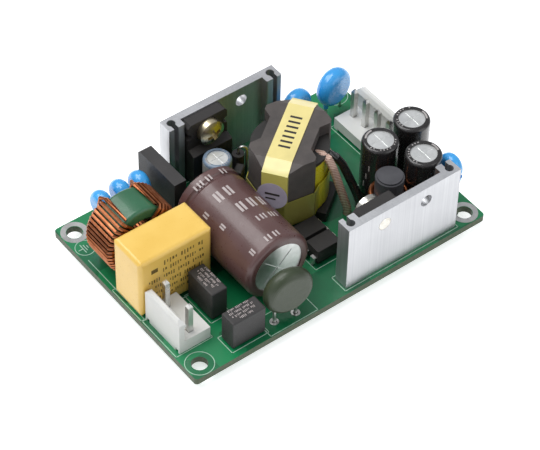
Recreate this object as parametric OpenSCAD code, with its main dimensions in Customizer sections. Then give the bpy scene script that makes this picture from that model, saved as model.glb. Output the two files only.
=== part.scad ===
// Open frame switching power supply on a 3 x 2 inch printed board.
// Origin: centre of the four mounting holes, on the underside of the board.
// +X runs along the board towards the output header, +Y across it, +Z up.

/* [Board] */
// Length of the board along X
board_l = 76.2; // [75.6:0.1:82]
// Width of the board along Y
board_w = 50.8; // [50.2:0.1:56]
// Thickness of the board
board_t = 1.6; // [1.2:0.1:2.4]
// Radius of the board's corners
board_corner_r = 0.8; // [0.4:0.1:1.5]
// Distance between mounting hole centres along X
mount_pitch_x = 69.85; // [69:0.05:70.4]
// Distance between mounting hole centres along Y
mount_pitch_y = 44.45; // [44:0.05:45]
// Diameter of the mounting holes
mount_hole_d = 3.5; // [2.8:0.1:3.8]
// How far the soldered lead ends stand below the board
joint_h = 1.8; // [1.3:0.1:2.6]
// Radial gap between a lead and its hole in the board
lead_gap = 0.1; // [0.05:0.01:0.15]
// Diameter of the thin component wires
thin_wire_d = 0.6; // [0.5:0.05:0.7]
// Diameter of the heavier component wires
stout_wire_d = 0.8; // [0.7:0.05:0.9]

/* [Wire headers] */
// Distance between neighbouring header pins
header_pitch = 3.96; // [3.8:0.01:4]
// Side of the square header pins
header_pin_w = 1.14; // [1:0.02:1.2]
// Height of the header pins above the board
header_pin_h = 10.9; // [9.5:0.1:12]
// Nylon beyond the outer pins at each end of a header
header_end = 1.9; // [1.6:0.05:2]
// Depth of a header across its pin row
header_depth = 7.7; // [7:0.1:7.9]
// Height of the header base above the board
header_base_h = 3.1; // [2.6:0.1:3.8]
// Height of the friction wall above the board
header_wall_h = 9.2; // [8:0.1:10]
// Thickness of the friction wall
header_wall_t = 1.3; // [1:0.1:1.6]

/* [Fuses] */
// Length of a fuse body
fuse_l = 8.3; // [8:0.1:8.6]
// Thickness of a fuse body
fuse_w = 4; // [3.6:0.1:4.2]
// Height of a fuse body
fuse_h = 7.7; // [7:0.1:8.5]
// Distance between the leads of a fuse
fuse_pitch = 5.08; // [5:0.01:5.2]

/* [Film capacitor] */
// Length of the film capacitor box
film_l = 18; // [17.4:0.1:18]
// Width of the film capacitor box
film_w = 9.5; // [9:0.1:9.7]
// Height of the film capacitor box
film_h = 16; // [14:0.5:18]
// Radius of the moulded edges of the box
film_edge_r = 1; // [0.5:0.1:1.5]
// Distance between the leads of the film capacitor
film_pitch = 15; // [14.5:0.1:15.4]

/* [Common mode choke] */
// Outer diameter of the coated ring core
choke_od = 16; // [15.6:0.1:16.2]
// Inner diameter of the coated ring core
choke_id = 9.4; // [9.2:0.1:9.8]
// Width of the ring core along its axis
choke_w = 7.6; // [7:0.1:7.8]
// Diameter of the enamelled winding wire
choke_wire_d = 0.8; // [0.7:0.01:0.82]
// Number of turns in each winding
choke_turns = 19; // [15:1:19]
// Half of the bare arc of core between the two windings, in degrees
choke_bare_deg = 26; // [24:1:30]

/* [Thermistor] */
// Diameter of the inrush thermistor disc
thermistor_d = 11.2; // [10:0.1:11.6]
// Thickness of the thermistor disc
thermistor_t = 3.6; // [3:0.1:4]
// Height of the disc's lowest point above the board
thermistor_lift = 2.3; // [1.5:0.1:3]

/* [Bridge rectifier] */
// Width of the bridge rectifier body
bridge_w = 13.1; // [12.6:0.1:13.4]
// Height of the bridge rectifier body
bridge_h = 11.4; // [10.8:0.1:12]
// Thickness of the bridge rectifier body
bridge_t = 3; // [2.6:0.1:3.2]
// Gap between the bridge body and the board
bridge_lift = 1.6; // [1:0.1:2]
// Distance between neighbouring bridge leads
bridge_pitch = 3.81; // [3.7:0.01:3.9]

/* [Bulk capacitor] */
// Diameter of the bulk capacitor over its sleeve
bulk_d = 16; // [15:0.1:16]
// Length of the bulk capacitor
bulk_l = 25; // [23:0.1:25.4]
// Gap between the bulk capacitor and the board
bulk_lift = 0.8; // [0.6:0.1:1.4]
// Thickness of the plastic sleeve
bulk_sleeve_t = 0.25; // [0.15:0.05:0.4]
// Distance between the leads of the bulk capacitor
bulk_pitch = 7.5; // [5:0.1:8]

/* [Ceramic disc capacitors] */
// Diameter of the three line filter discs
disc_small_d = 6; // [5.5:0.1:6.4]
// Thickness of the line filter discs
disc_small_t = 3.4; // [3:0.1:3.6]
// Distance between neighbouring line filter discs
disc_spacing = 4.8; // [4.6:0.1:4.9]
// Lead spacing of the ceramic disc capacitors
disc_pitch = 5; // [4:0.1:5.2]

/* [Heatsinks] */
// Length of both heatsink extrusions along X
sink_l = 29.6; // [29:0.1:30]
// Height of both heatsinks above the board
sink_h = 17.3; // [16.9:0.1:19]
// Thickness of the heatsink web
sink_web_t = 1.9; // [1.5:0.1:2.1]
// Depth of the end bosses of the heatsink
sink_boss_d = 3.7; // [3.5:0.1:3.8]
// Width of the end bosses of the heatsink
sink_boss_w = 4; // [3.8:0.1:4.2]
// Diameter of the keyhole slot in each boss
sink_slot_d = 1.9; // [1.8:0.05:2]
// Width of the mouth of the keyhole slot
sink_mouth_w = 1.1; // [0.8:0.05:1.3]
// Diameter of the spare fixing hole in each heatsink
sink_spare_d = 2.9; // [2.5:0.1:3.2]
// Diameter of the transistor clamp screws
clamp_screw_d = 3; // [2.5:0.1:3]

/* [Power packages] */
// Width of the moulded power packages
package_w = 10.2; // [9.8:0.1:10.4]
// Height of the moulded power packages
package_h = 15.8; // [15.4:0.1:16]
// Full thickness of the moulded power packages
package_t = 4.6; // [4.3:0.1:4.7]
// Thickness of the screwed part of the package
package_tab_t = 2.7; // [2.5:0.1:2.9]
// Distance between neighbouring package leads
package_pitch = 2.54; // [2.5:0.01:2.6]

/* [Transformer] */
// Length of the ferrite core between its two outer legs
core_l = 22.6; // [22.2:0.1:22.6]
// Side of the square that the core outline is cut from
core_side = 19.2; // [19:0.1:19.2]
// Width of the core plates at their waist
core_waist = 10.8; // [10.4:0.1:11]
// Height of the closed core
core_h = 16.4; // [15.8:0.1:17]
// Height of the core above the board
core_lift = 3; // [2.9:0.1:3.6]
// Diameter of the winding window in the core
core_window_d = 17; // [16.8:0.1:17.2]
// Thickness of one core plate
core_plate_t = 2.8; // [2.6:0.1:3]
// Diameter of the centre post of the core
core_post_d = 8.5; // [8:0.1:8.6]
// Direction of the core's long axis, in degrees from X
core_turn = 36; // [35:1:37]
// Width of the tape over the core
core_tape_w = 5.6; // [5:0.1:6]
// Thickness of the yellow tape
tape_t = 0.15; // [0.05:0.05:0.15]
// Height of the wide tape belt
belt_h = 7.2; // [6:0.1:8]

/* [Output filter] */
// Diameter of the output capacitors over their sleeves
out_cap_d = 8; // [7.6:0.1:8.1]
// Height of the output capacitors
out_cap_h = 16; // [12:0.5:20]
// Distance between the leads of an output capacitor
out_cap_pitch = 3.5; // [3:0.1:3.6]
// Diameter of the ferrite rod of the output inductor
rod_d = 6.2; // [6:0.1:6.4]
// Height of the ferrite rod
rod_h = 13.8; // [12:0.1:15]
// Diameter of the inductor wire
rod_wire_d = 1.2; // [1:0.05:1.25]
// Number of turns on the rod
rod_turns = 7; // [5:1:7]

/* [Small parts] */
// Diameter of the small electrolytic capacitor
small_cap_d = 6.3; // [6:0.1:6.4]
// Height of the small electrolytic capacitor
small_cap_h = 11; // [9:0.5:12]
// Length of an optocoupler body along X
opto_l = 6.5; // [6.3:0.1:6.6]
// Width of an optocoupler body along Y
opto_w = 4.5; // [4.3:0.1:4.5]
// Height of an optocoupler body
opto_h = 3.4; // [3:0.1:3.6]
// Distance between the two lead rows of an optocoupler
opto_row = 7.62; // [7.5:0.02:7.8]
// Diameter of the bare stranded transformer lead
litz_d = 1.8; // [1.4:0.1:2]
// Diameter of the sleeved transformer lead
sleeved_d = 1.9; // [1.4:0.1:2]

/* [Hidden] */

$fn = 48;
e = 0.5;              // how far a cutter runs past the face it cuts
slip = 0.05;          // fit between a bought piece and the piece that holds it

// Places on the board, measured in from its four edges.
function from_left(x) = -board_l / 2 + x;
function from_right(x) = board_l / 2 - x;
function from_front(y) = -board_w / 2 + y;
function from_back(y) = board_w / 2 - y;
function along_x(at, offsets) = [for (o = offsets) [at[0] + o, at[1]]];
function along_y(at, offsets) = [for (o = offsets) [at[0], at[1] + o]];
function pair(pitch) = [-pitch / 2, pitch / 2];
function row(count, pitch) = [for (i = [0:count - 1]) (i - (count - 1) / 2) * pitch];
function turned(at, angle, p) = [
    at[0] + p[0] * cos(angle) - p[1] * sin(angle),
    at[1] + p[0] * sin(angle) + p[1] * cos(angle)
];

mount_points = [for (x = pair(mount_pitch_x), y = pair(mount_pitch_y)) [x, y]];

// Component centres.
input_at = [from_left(5.2), from_front(13.35)];
output_at = [from_right(5.7), from_back(18.9)];
fuse_1_at = [from_left(13.8), from_front(14.9)];
fuse_2_at = [from_left(14.7), from_front(3.9)];
film_at = [from_left(9.55), from_front(24.4)];
choke_at = [from_left(9.0), from_front(34.7)];
thermistor_at = [from_left(24.4), from_front(2.8)];
bridge_at = [from_left(22.3), from_back(8.4)];
bulk_at = [from_left(26.75), from_front(8.0)];
disc_row_at = [from_left(8.3), from_back(6.3)];
disc_4_at = [from_right(16.6), from_back(6.3)];
disc_5_at = [from_right(6.6), from_back(6.8)];
disc_6_at = [from_right(3.9), from_front(7.9)];
primary_sink_at = [from_left(41.6), from_back(1.3)];
secondary_sink_at = [from_right(22.2), from_front(1.25)];
transistor_x = from_left(36);
rectifier_x = from_right(27.5);
small_cap_at = [from_left(34.1), from_front(38.9)];
snubber_diode_at = [from_left(40.9), from_front(40.6)];
snubber_cap_at = [from_left(38.87), from_front(37.63)];
core_at = [from_left(45.65), from_front(29.05)];
out_cap_at = [
    [from_right(5.0), from_front(19.9)],
    [from_right(14.4), from_front(18.9)],
    [from_right(9.6), from_front(10.5)]
];
rod_at = [from_right(18.0), from_front(11.2)];
opto_1_at = [from_left(41.6), from_front(12.0)];
opto_2_at = [from_left(41.6), from_front(16.8)];

// Leads: places of every wire that goes through the board.
function across(w, t) = sqrt(w * w + t * t);
package_lead = [0.75, 0.5];
opto_lead = [0.5, 0.3];
header_pin_across = across(header_pin_w, header_pin_w);
package_lead_across = across(package_lead[0], package_lead[1]);
opto_lead_across = across(opto_lead[0], opto_lead[1]);
sink_pin_d = sink_slot_d - 2 * slip;

input_pins = along_y(input_at, pair(2 * header_pitch));
output_pins = along_y(output_at, row(4, header_pitch));
fuse_leads = concat(
    along_y(fuse_1_at, pair(fuse_pitch)), along_x(fuse_2_at, pair(fuse_pitch)));
film_leads = along_x(film_at, pair(film_pitch));
thermistor_wires = [
    thermistor_at + [-2.5, 0.2],
    thermistor_at + [2.5, -0.4]
];
bridge_wires = along_y(bridge_at, row(4, bridge_pitch));
bulk_lead_run = 1.6;
bulk_end_y = bulk_at[1] + bulk_l;
bulk_wires = along_x([bulk_at[0], bulk_end_y + bulk_lead_run], pair(bulk_pitch));
disc_at = [
    disc_row_at, disc_row_at + [disc_spacing, 0], disc_row_at + [2 * disc_spacing, 0],
    disc_4_at, disc_5_at, disc_6_at
];
disc_d = [disc_small_d, disc_small_d, disc_small_d, 8, 9.2, 6];
disc_t = [disc_small_t, disc_small_t, disc_small_t, 3.5, 4, 2.9];
disc_turn = [0, 0, 0, -79, -79, 0];
disc_z = [8.4, 8.7, 8.4, 7.3, 7.6, 10.8];
disc_wires = [
    for (i = [0:len(disc_at) - 1], y = pair(disc_pitch))
        turned(disc_at[i], disc_turn[i], [0, y])
];
choke_lead_x = 4.2;
choke_lead_y = choke_w / 2 + 1.75;
choke_wires = [
    for (x = [-choke_lead_x, choke_lead_x], y = [-choke_lead_y, choke_lead_y])
        choke_at + [x, y]
];
slot_inset = 1.75;
slot_depth = 1.75;
sink_pin_points = concat(
    along_x(primary_sink_at + [0, -slot_depth], pair(sink_l - 2 * slot_inset)),
    along_x(secondary_sink_at + [0, slot_depth], pair(sink_l - 2 * slot_inset)));
package_lead_in = package_tab_t - 0.1;
transistor_face = primary_sink_at[1] - sink_web_t;
rectifier_face = secondary_sink_at[1] + sink_web_t;
transistor_wires = along_x(
    [transistor_x, transistor_face - package_lead_in], row(3, package_pitch));
rectifier_wires = along_x(
    [rectifier_x, rectifier_face + package_lead_in], row(3, package_pitch));
small_cap_wires = along_x(small_cap_at, pair(2.5));
hairpin = [1.5, -1.0];
snubber_diode_wires = [snubber_diode_at, snubber_diode_at + hairpin];
snubber_cap_wires = [for (u = pair(2)) turned(snubber_cap_at, core_turn, [u, 0])];
transformer_pin_v = 8.6;
transformer_wires = [
    for (v = [-transformer_pin_v, transformer_pin_v], u = row(4, 2.54))
        turned(core_at, core_turn, [u, v])
];
out_cap_wires = [for (p = out_cap_at) each along_y(p, pair(out_cap_pitch))];
coil_r = rod_d / 2 + slip + rod_wire_d / 2;
rod_wires = along_y(rod_at, [-coil_r, coil_r]);
opto_wires = [
    for (p = [opto_1_at, opto_2_at], x = pair(opto_row), y = pair(2.54)) p + [x, y]
];

// The two transformer leads, as points above the board.
litz_route = [
    [48.7, 24.0, 15.6], [49.2, 22.6, 16.0], [49.8, 21.4, 15.4], [50.3, 20.4, 13.4],
    [50.9, 19.7, 10.6], [51.6, 19.1, 7.4], [52.3, 18.5, 4.2], [52.9, 18.1, 1.8],
    [53.0, 18.0, 0.4], [53.0, 18.0, -1.6]
];
sleeved_route = [
    [50.8, 25.2, 14.2], [51.8, 23.6, 14.0], [53.0, 22.6, 13.0], [54.2, 21.9, 10.8],
    [55.0, 21.0, 8.0], [55.6, 19.8, 5.4], [56.0, 18.6, 3.0], [56.2, 17.8, 1.2],
    [56.2, 17.6, 0.2], [56.2, 17.6, -1.6]
];
route_origin = [-38.1, -25.4, 0];
function placed(route) = [for (p = route) p + route_origin + [0, 0, board_t]];
function foot(route) = let (p = placed(route)[len(route) - 1]) [p[0], p[1]];

// Every lead as [place, width across it].
lead_holes = concat(
    [for (p = concat(input_pins, output_pins)) [p, header_pin_across]],
    [for (p = concat(film_leads, bridge_wires, bulk_wires, thermistor_wires, rod_wires,
        choke_wires)) [p, stout_wire_d]],
    [for (p = concat(fuse_leads, disc_wires, small_cap_wires, snubber_diode_wires,
        snubber_cap_wires, transformer_wires, out_cap_wires)) [p, thin_wire_d]],
    [for (p = sink_pin_points) [p, sink_pin_d]],
    [for (p = concat(transistor_wires, rectifier_wires)) [p, package_lead_across]],
    [for (p = opto_wires) [p, opto_lead_across]],
    [[foot(litz_route), litz_d], [foot(sleeved_route), sleeved_d]]
);

// ---- helpers ----

module rounded_square(size, r) {
    square([size[0] - 2 * r, size[1]], center = true);
    square([size[0], size[1] - 2 * r], center = true);
    for (x = pair(size[0] - 2 * r), y = pair(size[1] - 2 * r))
        translate([x, y]) circle(r);
}

// A moulded box on z = 0 with every edge rounded.
module moulded_box(size, r) {
    intersection() {
        linear_extrude(size[2]) rounded_square([size[0], size[1]], r);
        translate([0, size[1] / 2, size[2] / 2]) rotate([90, 0, 0])
            linear_extrude(size[1]) rounded_square([size[0], size[2]], r);
        translate([-size[0] / 2, 0, size[2] / 2]) rotate([90, 0, 90])
            linear_extrude(size[0]) rounded_square([size[1], size[2]], r);
    }
}

// Straight wires from the underside of the board up to the height top.
module wires(points, d, top) {
    for (p = points) translate([p[0], p[1], 0]) cylinder(d = d, h = top);
}

module flat_leads(points, size, top) {
    for (p = points) translate([p[0] - size[0] / 2, p[1] - size[1] / 2, 0])
        cube([size[0], size[1], top]);
}

function unit(v) = v / norm(v);

// A round tube swept along points; each hint is a direction across the path.
module swept_tube(points, hints, d, sides) {
    last = len(points) - 1;
    rings = [
        for (i = [0:last])
            let (
                ahead = unit(points[min(i + 1, last)] - points[max(i - 1, 0)]),
                across_1 = unit(cross(hints[i], ahead)),
                across_2 = cross(ahead, across_1)
            )
            for (s = [0:sides - 1])
                let (a = 360 * s / sides)
                points[i] + d / 2 * (cos(a) * across_1 + sin(a) * across_2)
    ];
    walls = [
        for (i = [0:last - 1], s = [0:sides - 1])
            let (next = (s + 1) % sides)
            each [
                [i * sides + s, i * sides + next, (i + 1) * sides + next],
                [i * sides + s, (i + 1) * sides + next, (i + 1) * sides + s]
            ]
    ];
    start_cap = [[for (s = [sides - 1:-1:0]) s]];
    end_cap = [[for (s = [0:sides - 1]) last * sides + s]];
    polyhedron(rings, concat(walls, start_cap, end_cap));
}

// ---- board ----

module pcb() {
    color("seagreen") difference() {
        linear_extrude(board_t) rounded_square([board_l, board_w], board_corner_r);
        for (p = mount_points)
            translate([p[0], p[1], -e]) cylinder(d = mount_hole_d, h = board_t + 2 * e);
        for (h = lead_holes)
            translate([h[0][0], h[0][1], -e])
                cylinder(d = h[1] + 2 * lead_gap, h = board_t + 2 * e, $fn = 24);
    }
}

// Each joint is a cone of solder round the clipped end of its lead.
module solder_joints() {
    land = 0.55;
    color("silver") for (h = lead_holes) {
        translate([h[0][0], h[0][1], -joint_h / 2])
            cylinder(d1 = h[1] + 0.3, d2 = h[1] + 2 * land, h = joint_h / 2, $fn = 24);
        translate([h[0][0], h[0][1], -joint_h])
            cylinder(d = h[1] + 0.1, h = joint_h / 2, $fn = 24);
    }
}

// ---- wire headers ----

// Nylon base and friction wall; the wall stands on the -X side of the pins.
module header_housing(pins, length) {
    lock = 0.5;
    bore = header_pin_w + 2 * slip;
    difference() {
        union() {
            translate([-header_depth / 2, -length / 2, 0])
                cube([header_depth, length, header_base_h]);
            translate([-header_depth / 2, length / 2, 0]) rotate([90, 0, 0])
                linear_extrude(length) polygon([
                    [0, 0], [header_wall_t, 0], [header_wall_t, header_wall_h - 2.4],
                    [header_wall_t + lock, header_wall_h - 1.5],
                    [header_wall_t, header_wall_h - 0.4],
                    [header_wall_t - 0.4, header_wall_h], [0.4, header_wall_h],
                    [0, header_wall_h - 0.4]
                ]);
        }
        for (y = pins) translate([-bore / 2, y - bore / 2, -e])
            cube([bore, bore, header_base_h + 2 * e]);
        // Relief notches in the foot of the wall and chamfered wall corners.
        for (s = [-1, 1]) {
            translate([-header_depth / 2 - e, s * (length / 2 - 0.9) - 0.45, -e])
                cube([header_wall_t + e, 0.9, 0.8 + e]);
            translate([-header_depth / 2 + header_wall_t / 2, s * length / 2, header_wall_h])
                rotate([45, 0, 0]) cube([2 * header_wall_t + 2, 1.4, 1.4], center = true);
        }
        // Sink along the foot of the base, on the open side.
        translate([header_depth / 2 - 0.6, -length / 2 + 1.2, -e])
            cube([0.6 + e, length - 2.4, 0.5 + e]);
    }
}

module header_pins(points) {
    tip = 0.35;
    for (p = points) translate([p[0], p[1], 0]) intersection() {
        translate([-header_pin_w / 2, -header_pin_w / 2, 0])
            cube([header_pin_w, header_pin_w, board_t + header_pin_h]);
        // Bevelled tip on all four sides.
        for_bevel(header_pin_w, board_t + header_pin_h, tip);
    }
}

module for_bevel(w, h, tip) {
    outline = [
        [-w / 2, -e], [w / 2, -e], [w / 2, h - 2 * tip], [w / 2 - tip, h],
        [-w / 2 + tip, h], [-w / 2, h - 2 * tip]
    ];
    intersection() {
        rotate([90, 0, 0]) linear_extrude(2 * w, center = true) polygon(outline);
        rotate([90, 0, 90]) linear_extrude(2 * w, center = true) polygon(outline);
    }
}

module input_header() {
    color("whitesmoke") translate([input_at[0], input_at[1], board_t])
        header_housing(pair(2 * header_pitch), 2 * header_pitch + 2 * header_end);
}

module input_header_pins() {
    color("gainsboro") header_pins(input_pins);
}

module output_header() {
    color("whitesmoke") translate([output_at[0], output_at[1], board_t]) rotate([0, 0, 180])
        header_housing(row(4, header_pitch), 3 * header_pitch + 2 * header_end);
}

module output_header_pins() {
    color("gainsboro") header_pins(output_pins);
}

// ---- fuses and line filter ----

module fuse(at, turn, lead_points) {
    translate([at[0], at[1], board_t]) rotate([0, 0, turn]) {
        translate([0, 0, 0.3]) moulded_box([fuse_l, fuse_w, fuse_h - 0.3], 0.35);
        // Two moulded feet keep the body off the board.
        for (x = pair(fuse_l - 1.6)) translate([x, 0, 0.4])
            cube([1, fuse_w - 1, 0.8], center = true);
    }
    wires(lead_points, thin_wire_d, board_t + 1);
}

module fuse_1() {
    color("dimgray") fuse(fuse_1_at, 90, [fuse_leads[0], fuse_leads[1]]);
}

module fuse_2() {
    color("dimgray") fuse(fuse_2_at, 0, [fuse_leads[2], fuse_leads[3]]);
}

module film_capacitor() {
    color("khaki") {
        translate([film_at[0], film_at[1], board_t]) {
            translate([0, 0, 0.4]) moulded_box([film_l, film_w, film_h - 0.4], film_edge_r);
            for (x = pair(film_l - 4), y = pair(film_w - 3))
                translate([x, y, 0]) cylinder(d = 1.2, h = 1.5, $fn = 24);
        }
        wires(film_leads, stout_wire_d, board_t + 2);
    }
}

// Ring core on edge: its axis lies along Y.
choke_wind_r = choke_od / 2 + slip + choke_wire_d / 2;
choke_z = board_t + choke_wind_r + choke_wire_d / 2 + 0.2;
choke_edge_r = 0.9;

module choke_core() {
    wall = (choke_od - choke_id) / 2;
    color("seagreen") translate([choke_at[0], choke_at[1], choke_z]) rotate([90, 0, 0])
        rotate_extrude($fn = 96) translate([choke_id / 2 + wall / 2, 0])
            rounded_square([wall, choke_w], choke_edge_r);
}

// One winding. Every second turn climbs over its neighbours on the faces of
// the ring and lies in a second layer inside the hole.
choke_arc = 180 - 2 * choke_bare_deg;
choke_step = choke_arc / (choke_turns - 1);
choke_face_y = choke_w / 2 + slip + choke_wire_d / 2;
choke_bore_r = choke_id / 2 - slip - choke_wire_d / 2;
choke_layer = choke_wire_d - 0.04;
function on_ring(angle, r, y) = [r * sin(angle), y, r * cos(angle)];
function choke_turn(k) =
    let (
        a = choke_bare_deg + k * choke_step,
        lift = (k % 2) * choke_layer,
        back = choke_face_y,
        edge = 0.55
    )
    [
        [a, choke_wind_r, -back + edge], [a, choke_wind_r, back - edge],
        [a, choke_wind_r - edge, back], [a, choke_bore_r + 1.1, back + lift],
        [a, choke_bore_r - lift, back - edge], [a, choke_bore_r - lift, -back + edge],
        [a + 0.2 * choke_step, choke_bore_r + 1.1, -back - lift],
        [a + 0.9 * choke_step, choke_wind_r - edge, -back]
    ];
// The start lead rises on the back face, the finish lead leaves below.
choke_start = [[choke_bare_deg - 5, choke_wind_r - 2.5, choke_lead_y]];
function choke_path() = [
    for (k = [0:choke_turns - 1], p = choke_turn(k)) p
];

module choke_winding(side) {
    turns = choke_path();
    finish = choke_bare_deg + choke_arc;
    foot_z = -choke_z;
    points = concat(
        [[choke_lead_x, choke_lead_y, foot_z], [choke_lead_x, choke_lead_y, 0.5 * choke_wind_r],
         [choke_lead_x - 0.3, choke_lead_y - 0.3, choke_wind_r - 1.6],
         on_ring(choke_bare_deg - 2, choke_wind_r - 0.2, choke_w / 2 - 0.4)],
        [for (t = turns) on_ring(t[0], t[1], t[2])],
        [[choke_lead_x - 0.4, -choke_lead_y + 0.25, -choke_wind_r + 0.9],
         [choke_lead_x, -choke_lead_y, -choke_wind_r - 0.2],
         [choke_lead_x, -choke_lead_y, foot_z]]
    );
    round_the_ring = [for (t = turns) [cos(t[0]), 0, -sin(t[0])]];
    hints = concat(
        [for (i = [0:3]) [1, 0, 0]], round_the_ring, [for (i = [0:2]) [1, 0, 0]]);
    translate([choke_at[0], choke_at[1], choke_z])
        mirror([side < 0 ? 1 : 0, 0, 0]) swept_tube(points, hints, choke_wire_d, 6);
}

module choke_winding_left() {
    color("peru") choke_winding(-1);
}

module choke_winding_right() {
    color("peru") choke_winding(1);
}

// ---- thermistor ----

// Round lozenge with soft rims, axis along Z, centred on the origin.
module coated_disc(d, t) {
    rim = t * 0.42;
    rotate_extrude() intersection() {
        union() {
            translate([d / 4 - rim / 2, 0]) square([d / 2 - rim, t], center = true);
            translate([d / 2 - rim, 0]) scale_circle(rim, t / 2);
        }
        translate([0, -t]) square([d, 2 * t]);
    }
}

// Half ellipse of reach r and half height h as a many sided outline.
module scale_circle(r, h) {
    polygon([for (i = [0:12]) let (a = -90 + i * 15) [r * cos(a), h * sin(a)]]);
}

module thermistor() {
    color("darkolivegreen") difference() {
        translate([
            thermistor_at[0] + 0.6, thermistor_at[1],
            board_t + thermistor_lift + thermistor_d / 2
        ]) rotate([0, 6, -6]) rotate([90, 0, 0]) coated_disc(thermistor_d, thermistor_t);
        wires(thermistor_wires, stout_wire_d + 2 * slip, thermistor_lead_top + slip);
    }
}

thermistor_lead_top = board_t + thermistor_lift + 1.2;

module thermistor_leads() {
    color("silver") wires(thermistor_wires, stout_wire_d, thermistor_lead_top);
}

// ---- bridge rectifier ----

module bridge_rectifier() {
    notch = 0.6;
    color("dimgray") translate([bridge_at[0], bridge_at[1], board_t + bridge_lift])
        difference() {
            translate([-bridge_t / 2, 0, 0]) rotate([90, 0, 90])
                linear_extrude(bridge_t) polygon([
                    [-bridge_w / 2, 0], [bridge_w / 2, 0],
                    [bridge_w / 2, bridge_h - notch], [bridge_w / 2 - notch, bridge_h],
                    [-bridge_w / 2, bridge_h]
                ]);
            // Small draft on both faces near the leads.
            for (s = [-1, 1]) translate([s * bridge_t / 2, 0, 0]) rotate([0, s * 8, 0])
                translate([s * 1, 0, 0]) cube([2, bridge_w + 2, 5], center = true);
        }
}

module bridge_rectifier_leads() {
    color("silver") wires(bridge_wires, stout_wire_d, board_t + bridge_lift);
}

// ---- bulk capacitor, lying along Y with its vent end to the front ----

bulk_can_r = bulk_d / 2 - bulk_sleeve_t - slip / 2;
bulk_z = board_t + bulk_lift + bulk_d / 2;
bulk_groove_y = 2.6;
bulk_groove_r = 0.9;
bulk_recess = 0.35;

// Outline of the can from its vent end (0) to its curled end (length).
module can_profile(r, length, groove_at, groove_r, edge) {
    difference() {
        polygon(concat(
            [[0, 0]],
            [for (i = [0:6]) let (a = 90 - i * 15)
                [r - edge + edge * cos(a), edge - edge * sin(a)]],
            [[r, length - edge / 2], [r - edge / 2, length], [0, length]]
        ));
        translate([r + groove_r * 0.45, length - groove_at]) circle(groove_r, $fn = 32);
    }
}

module lay_along_y() {
    translate([bulk_at[0], bulk_at[1], bulk_z]) rotate([-90, 0, 0]) children();
}

module bulk_capacitor_can() {
    vent_w = 0.5;
    color("silver") lay_along_y() difference() {
        rotate_extrude($fn = 64) difference() {
            translate([0, bulk_recess])
                can_profile(bulk_can_r, bulk_l - 2 * bulk_recess, bulk_groove_y,
                    bulk_groove_r, 0.8);
            // Socket for the rubber seal.
            translate([0, bulk_l - bulk_recess - 2])
                square([bulk_can_r - 1.2, 2 + e]);
        }
        // Scored vent, a cross in the closed end.
        for (a = [45, 135]) rotate([0, 0, a]) translate([0, 0, bulk_recess])
            cube([bulk_can_r * 1.2, vent_w, 0.3], center = true);
    }
}

module bulk_capacitor_sleeve() {
    lip = 2;
    gap = slip / 2;
    color("saddlebrown") lay_along_y() rotate_extrude($fn = 64) difference() {
        can_profile(bulk_d / 2, bulk_l, bulk_groove_y + bulk_recess, bulk_groove_r, 1.2);
        translate([0, bulk_recess - gap])
            can_profile(bulk_can_r + gap, bulk_l - 2 * bulk_recess + 2 * gap,
                bulk_groove_y + gap, bulk_groove_r - gap, 0.8);
        translate([0, -e]) square([bulk_d / 2 - lip, bulk_recess + 2 * e]);
        translate([0, bulk_l - bulk_recess - e])
            square([bulk_d / 2 - lip, bulk_recess + 2 * e]);
    }
}

module bulk_capacitor_seal() {
    color("dimgray") lay_along_y() difference() {
        translate([0, 0, bulk_l - bulk_recess - 2])
            cylinder(r = bulk_can_r - 1.2 - slip, h = 2);
        for (x = pair(bulk_pitch)) translate([x, 0, bulk_l - bulk_recess - 1])
            cylinder(d = stout_wire_d + 2 * slip, h = 3, $fn = 24);
    }
}

module bulk_capacitor_leads() {
    bend = 1.1;
    start = bulk_at[1] + bulk_l - bulk_recess - 1 + slip;
    turn_y = bulk_end_y + bulk_lead_run - bend;
    color("silver") for (p = bulk_wires) {
        translate([p[0], start, bulk_z]) rotate([-90, 0, 0])
            cylinder(d = stout_wire_d, h = turn_y - start, $fn = 24);
        translate([p[0], turn_y, bulk_z - bend]) rotate([0, -90, 0])
            rotate_extrude(angle = 90, $fn = 48) translate([bend, 0])
                circle(d = stout_wire_d, $fn = 24);
        translate([p[0], p[1], 0]) cylinder(d = stout_wire_d, h = bulk_z - bend, $fn = 24);
    }
}

// ---- ceramic discs, standing across the board ----

module disc_capacitor(i) {
    d = disc_d[i];
    wire = thin_wire_d;
    color("cornflowerblue") translate([disc_at[i][0], disc_at[i][1], board_t + disc_z[i]])
        rotate([0, 0, disc_turn[i]]) {
        rotate([0, 90, 0]) coated_disc(d, disc_t[i]);
        // Coating run down over the start of each lead.
        for (y = pair(disc_pitch)) difference() {
            translate([0, y * 0.94, -d / 2 - 0.2]) cylinder(d1 = wire + 0.5, d2 = 1.9, h = d / 3);
            translate([0, y, -d / 2 - 1]) cylinder(d = wire + 2 * slip, h = 1.4, $fn = 24);
        }
    }
}

module disc_capacitor_1() { disc_capacitor(0); }
module disc_capacitor_2() { disc_capacitor(1); }
module disc_capacitor_3() { disc_capacitor(2); }
module disc_capacitor_4() { disc_capacitor(3); }
module disc_capacitor_5() { disc_capacitor(4); }
module disc_capacitor_6() { disc_capacitor(5); }

module disc_capacitor_leads() {
    color("silver") for (i = [0:len(disc_at) - 1])
        wires([disc_wires[2 * i], disc_wires[2 * i + 1]], thin_wire_d,
            board_t + disc_z[i] - disc_d[i] / 2 + 0.3);
}

// ---- heatsinks and the packages screwed to them ----

package_lift = sink_h - package_h - 0.4;
package_hole_z = package_lift + package_h - 3.3;
spare_x = 5.3;

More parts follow.
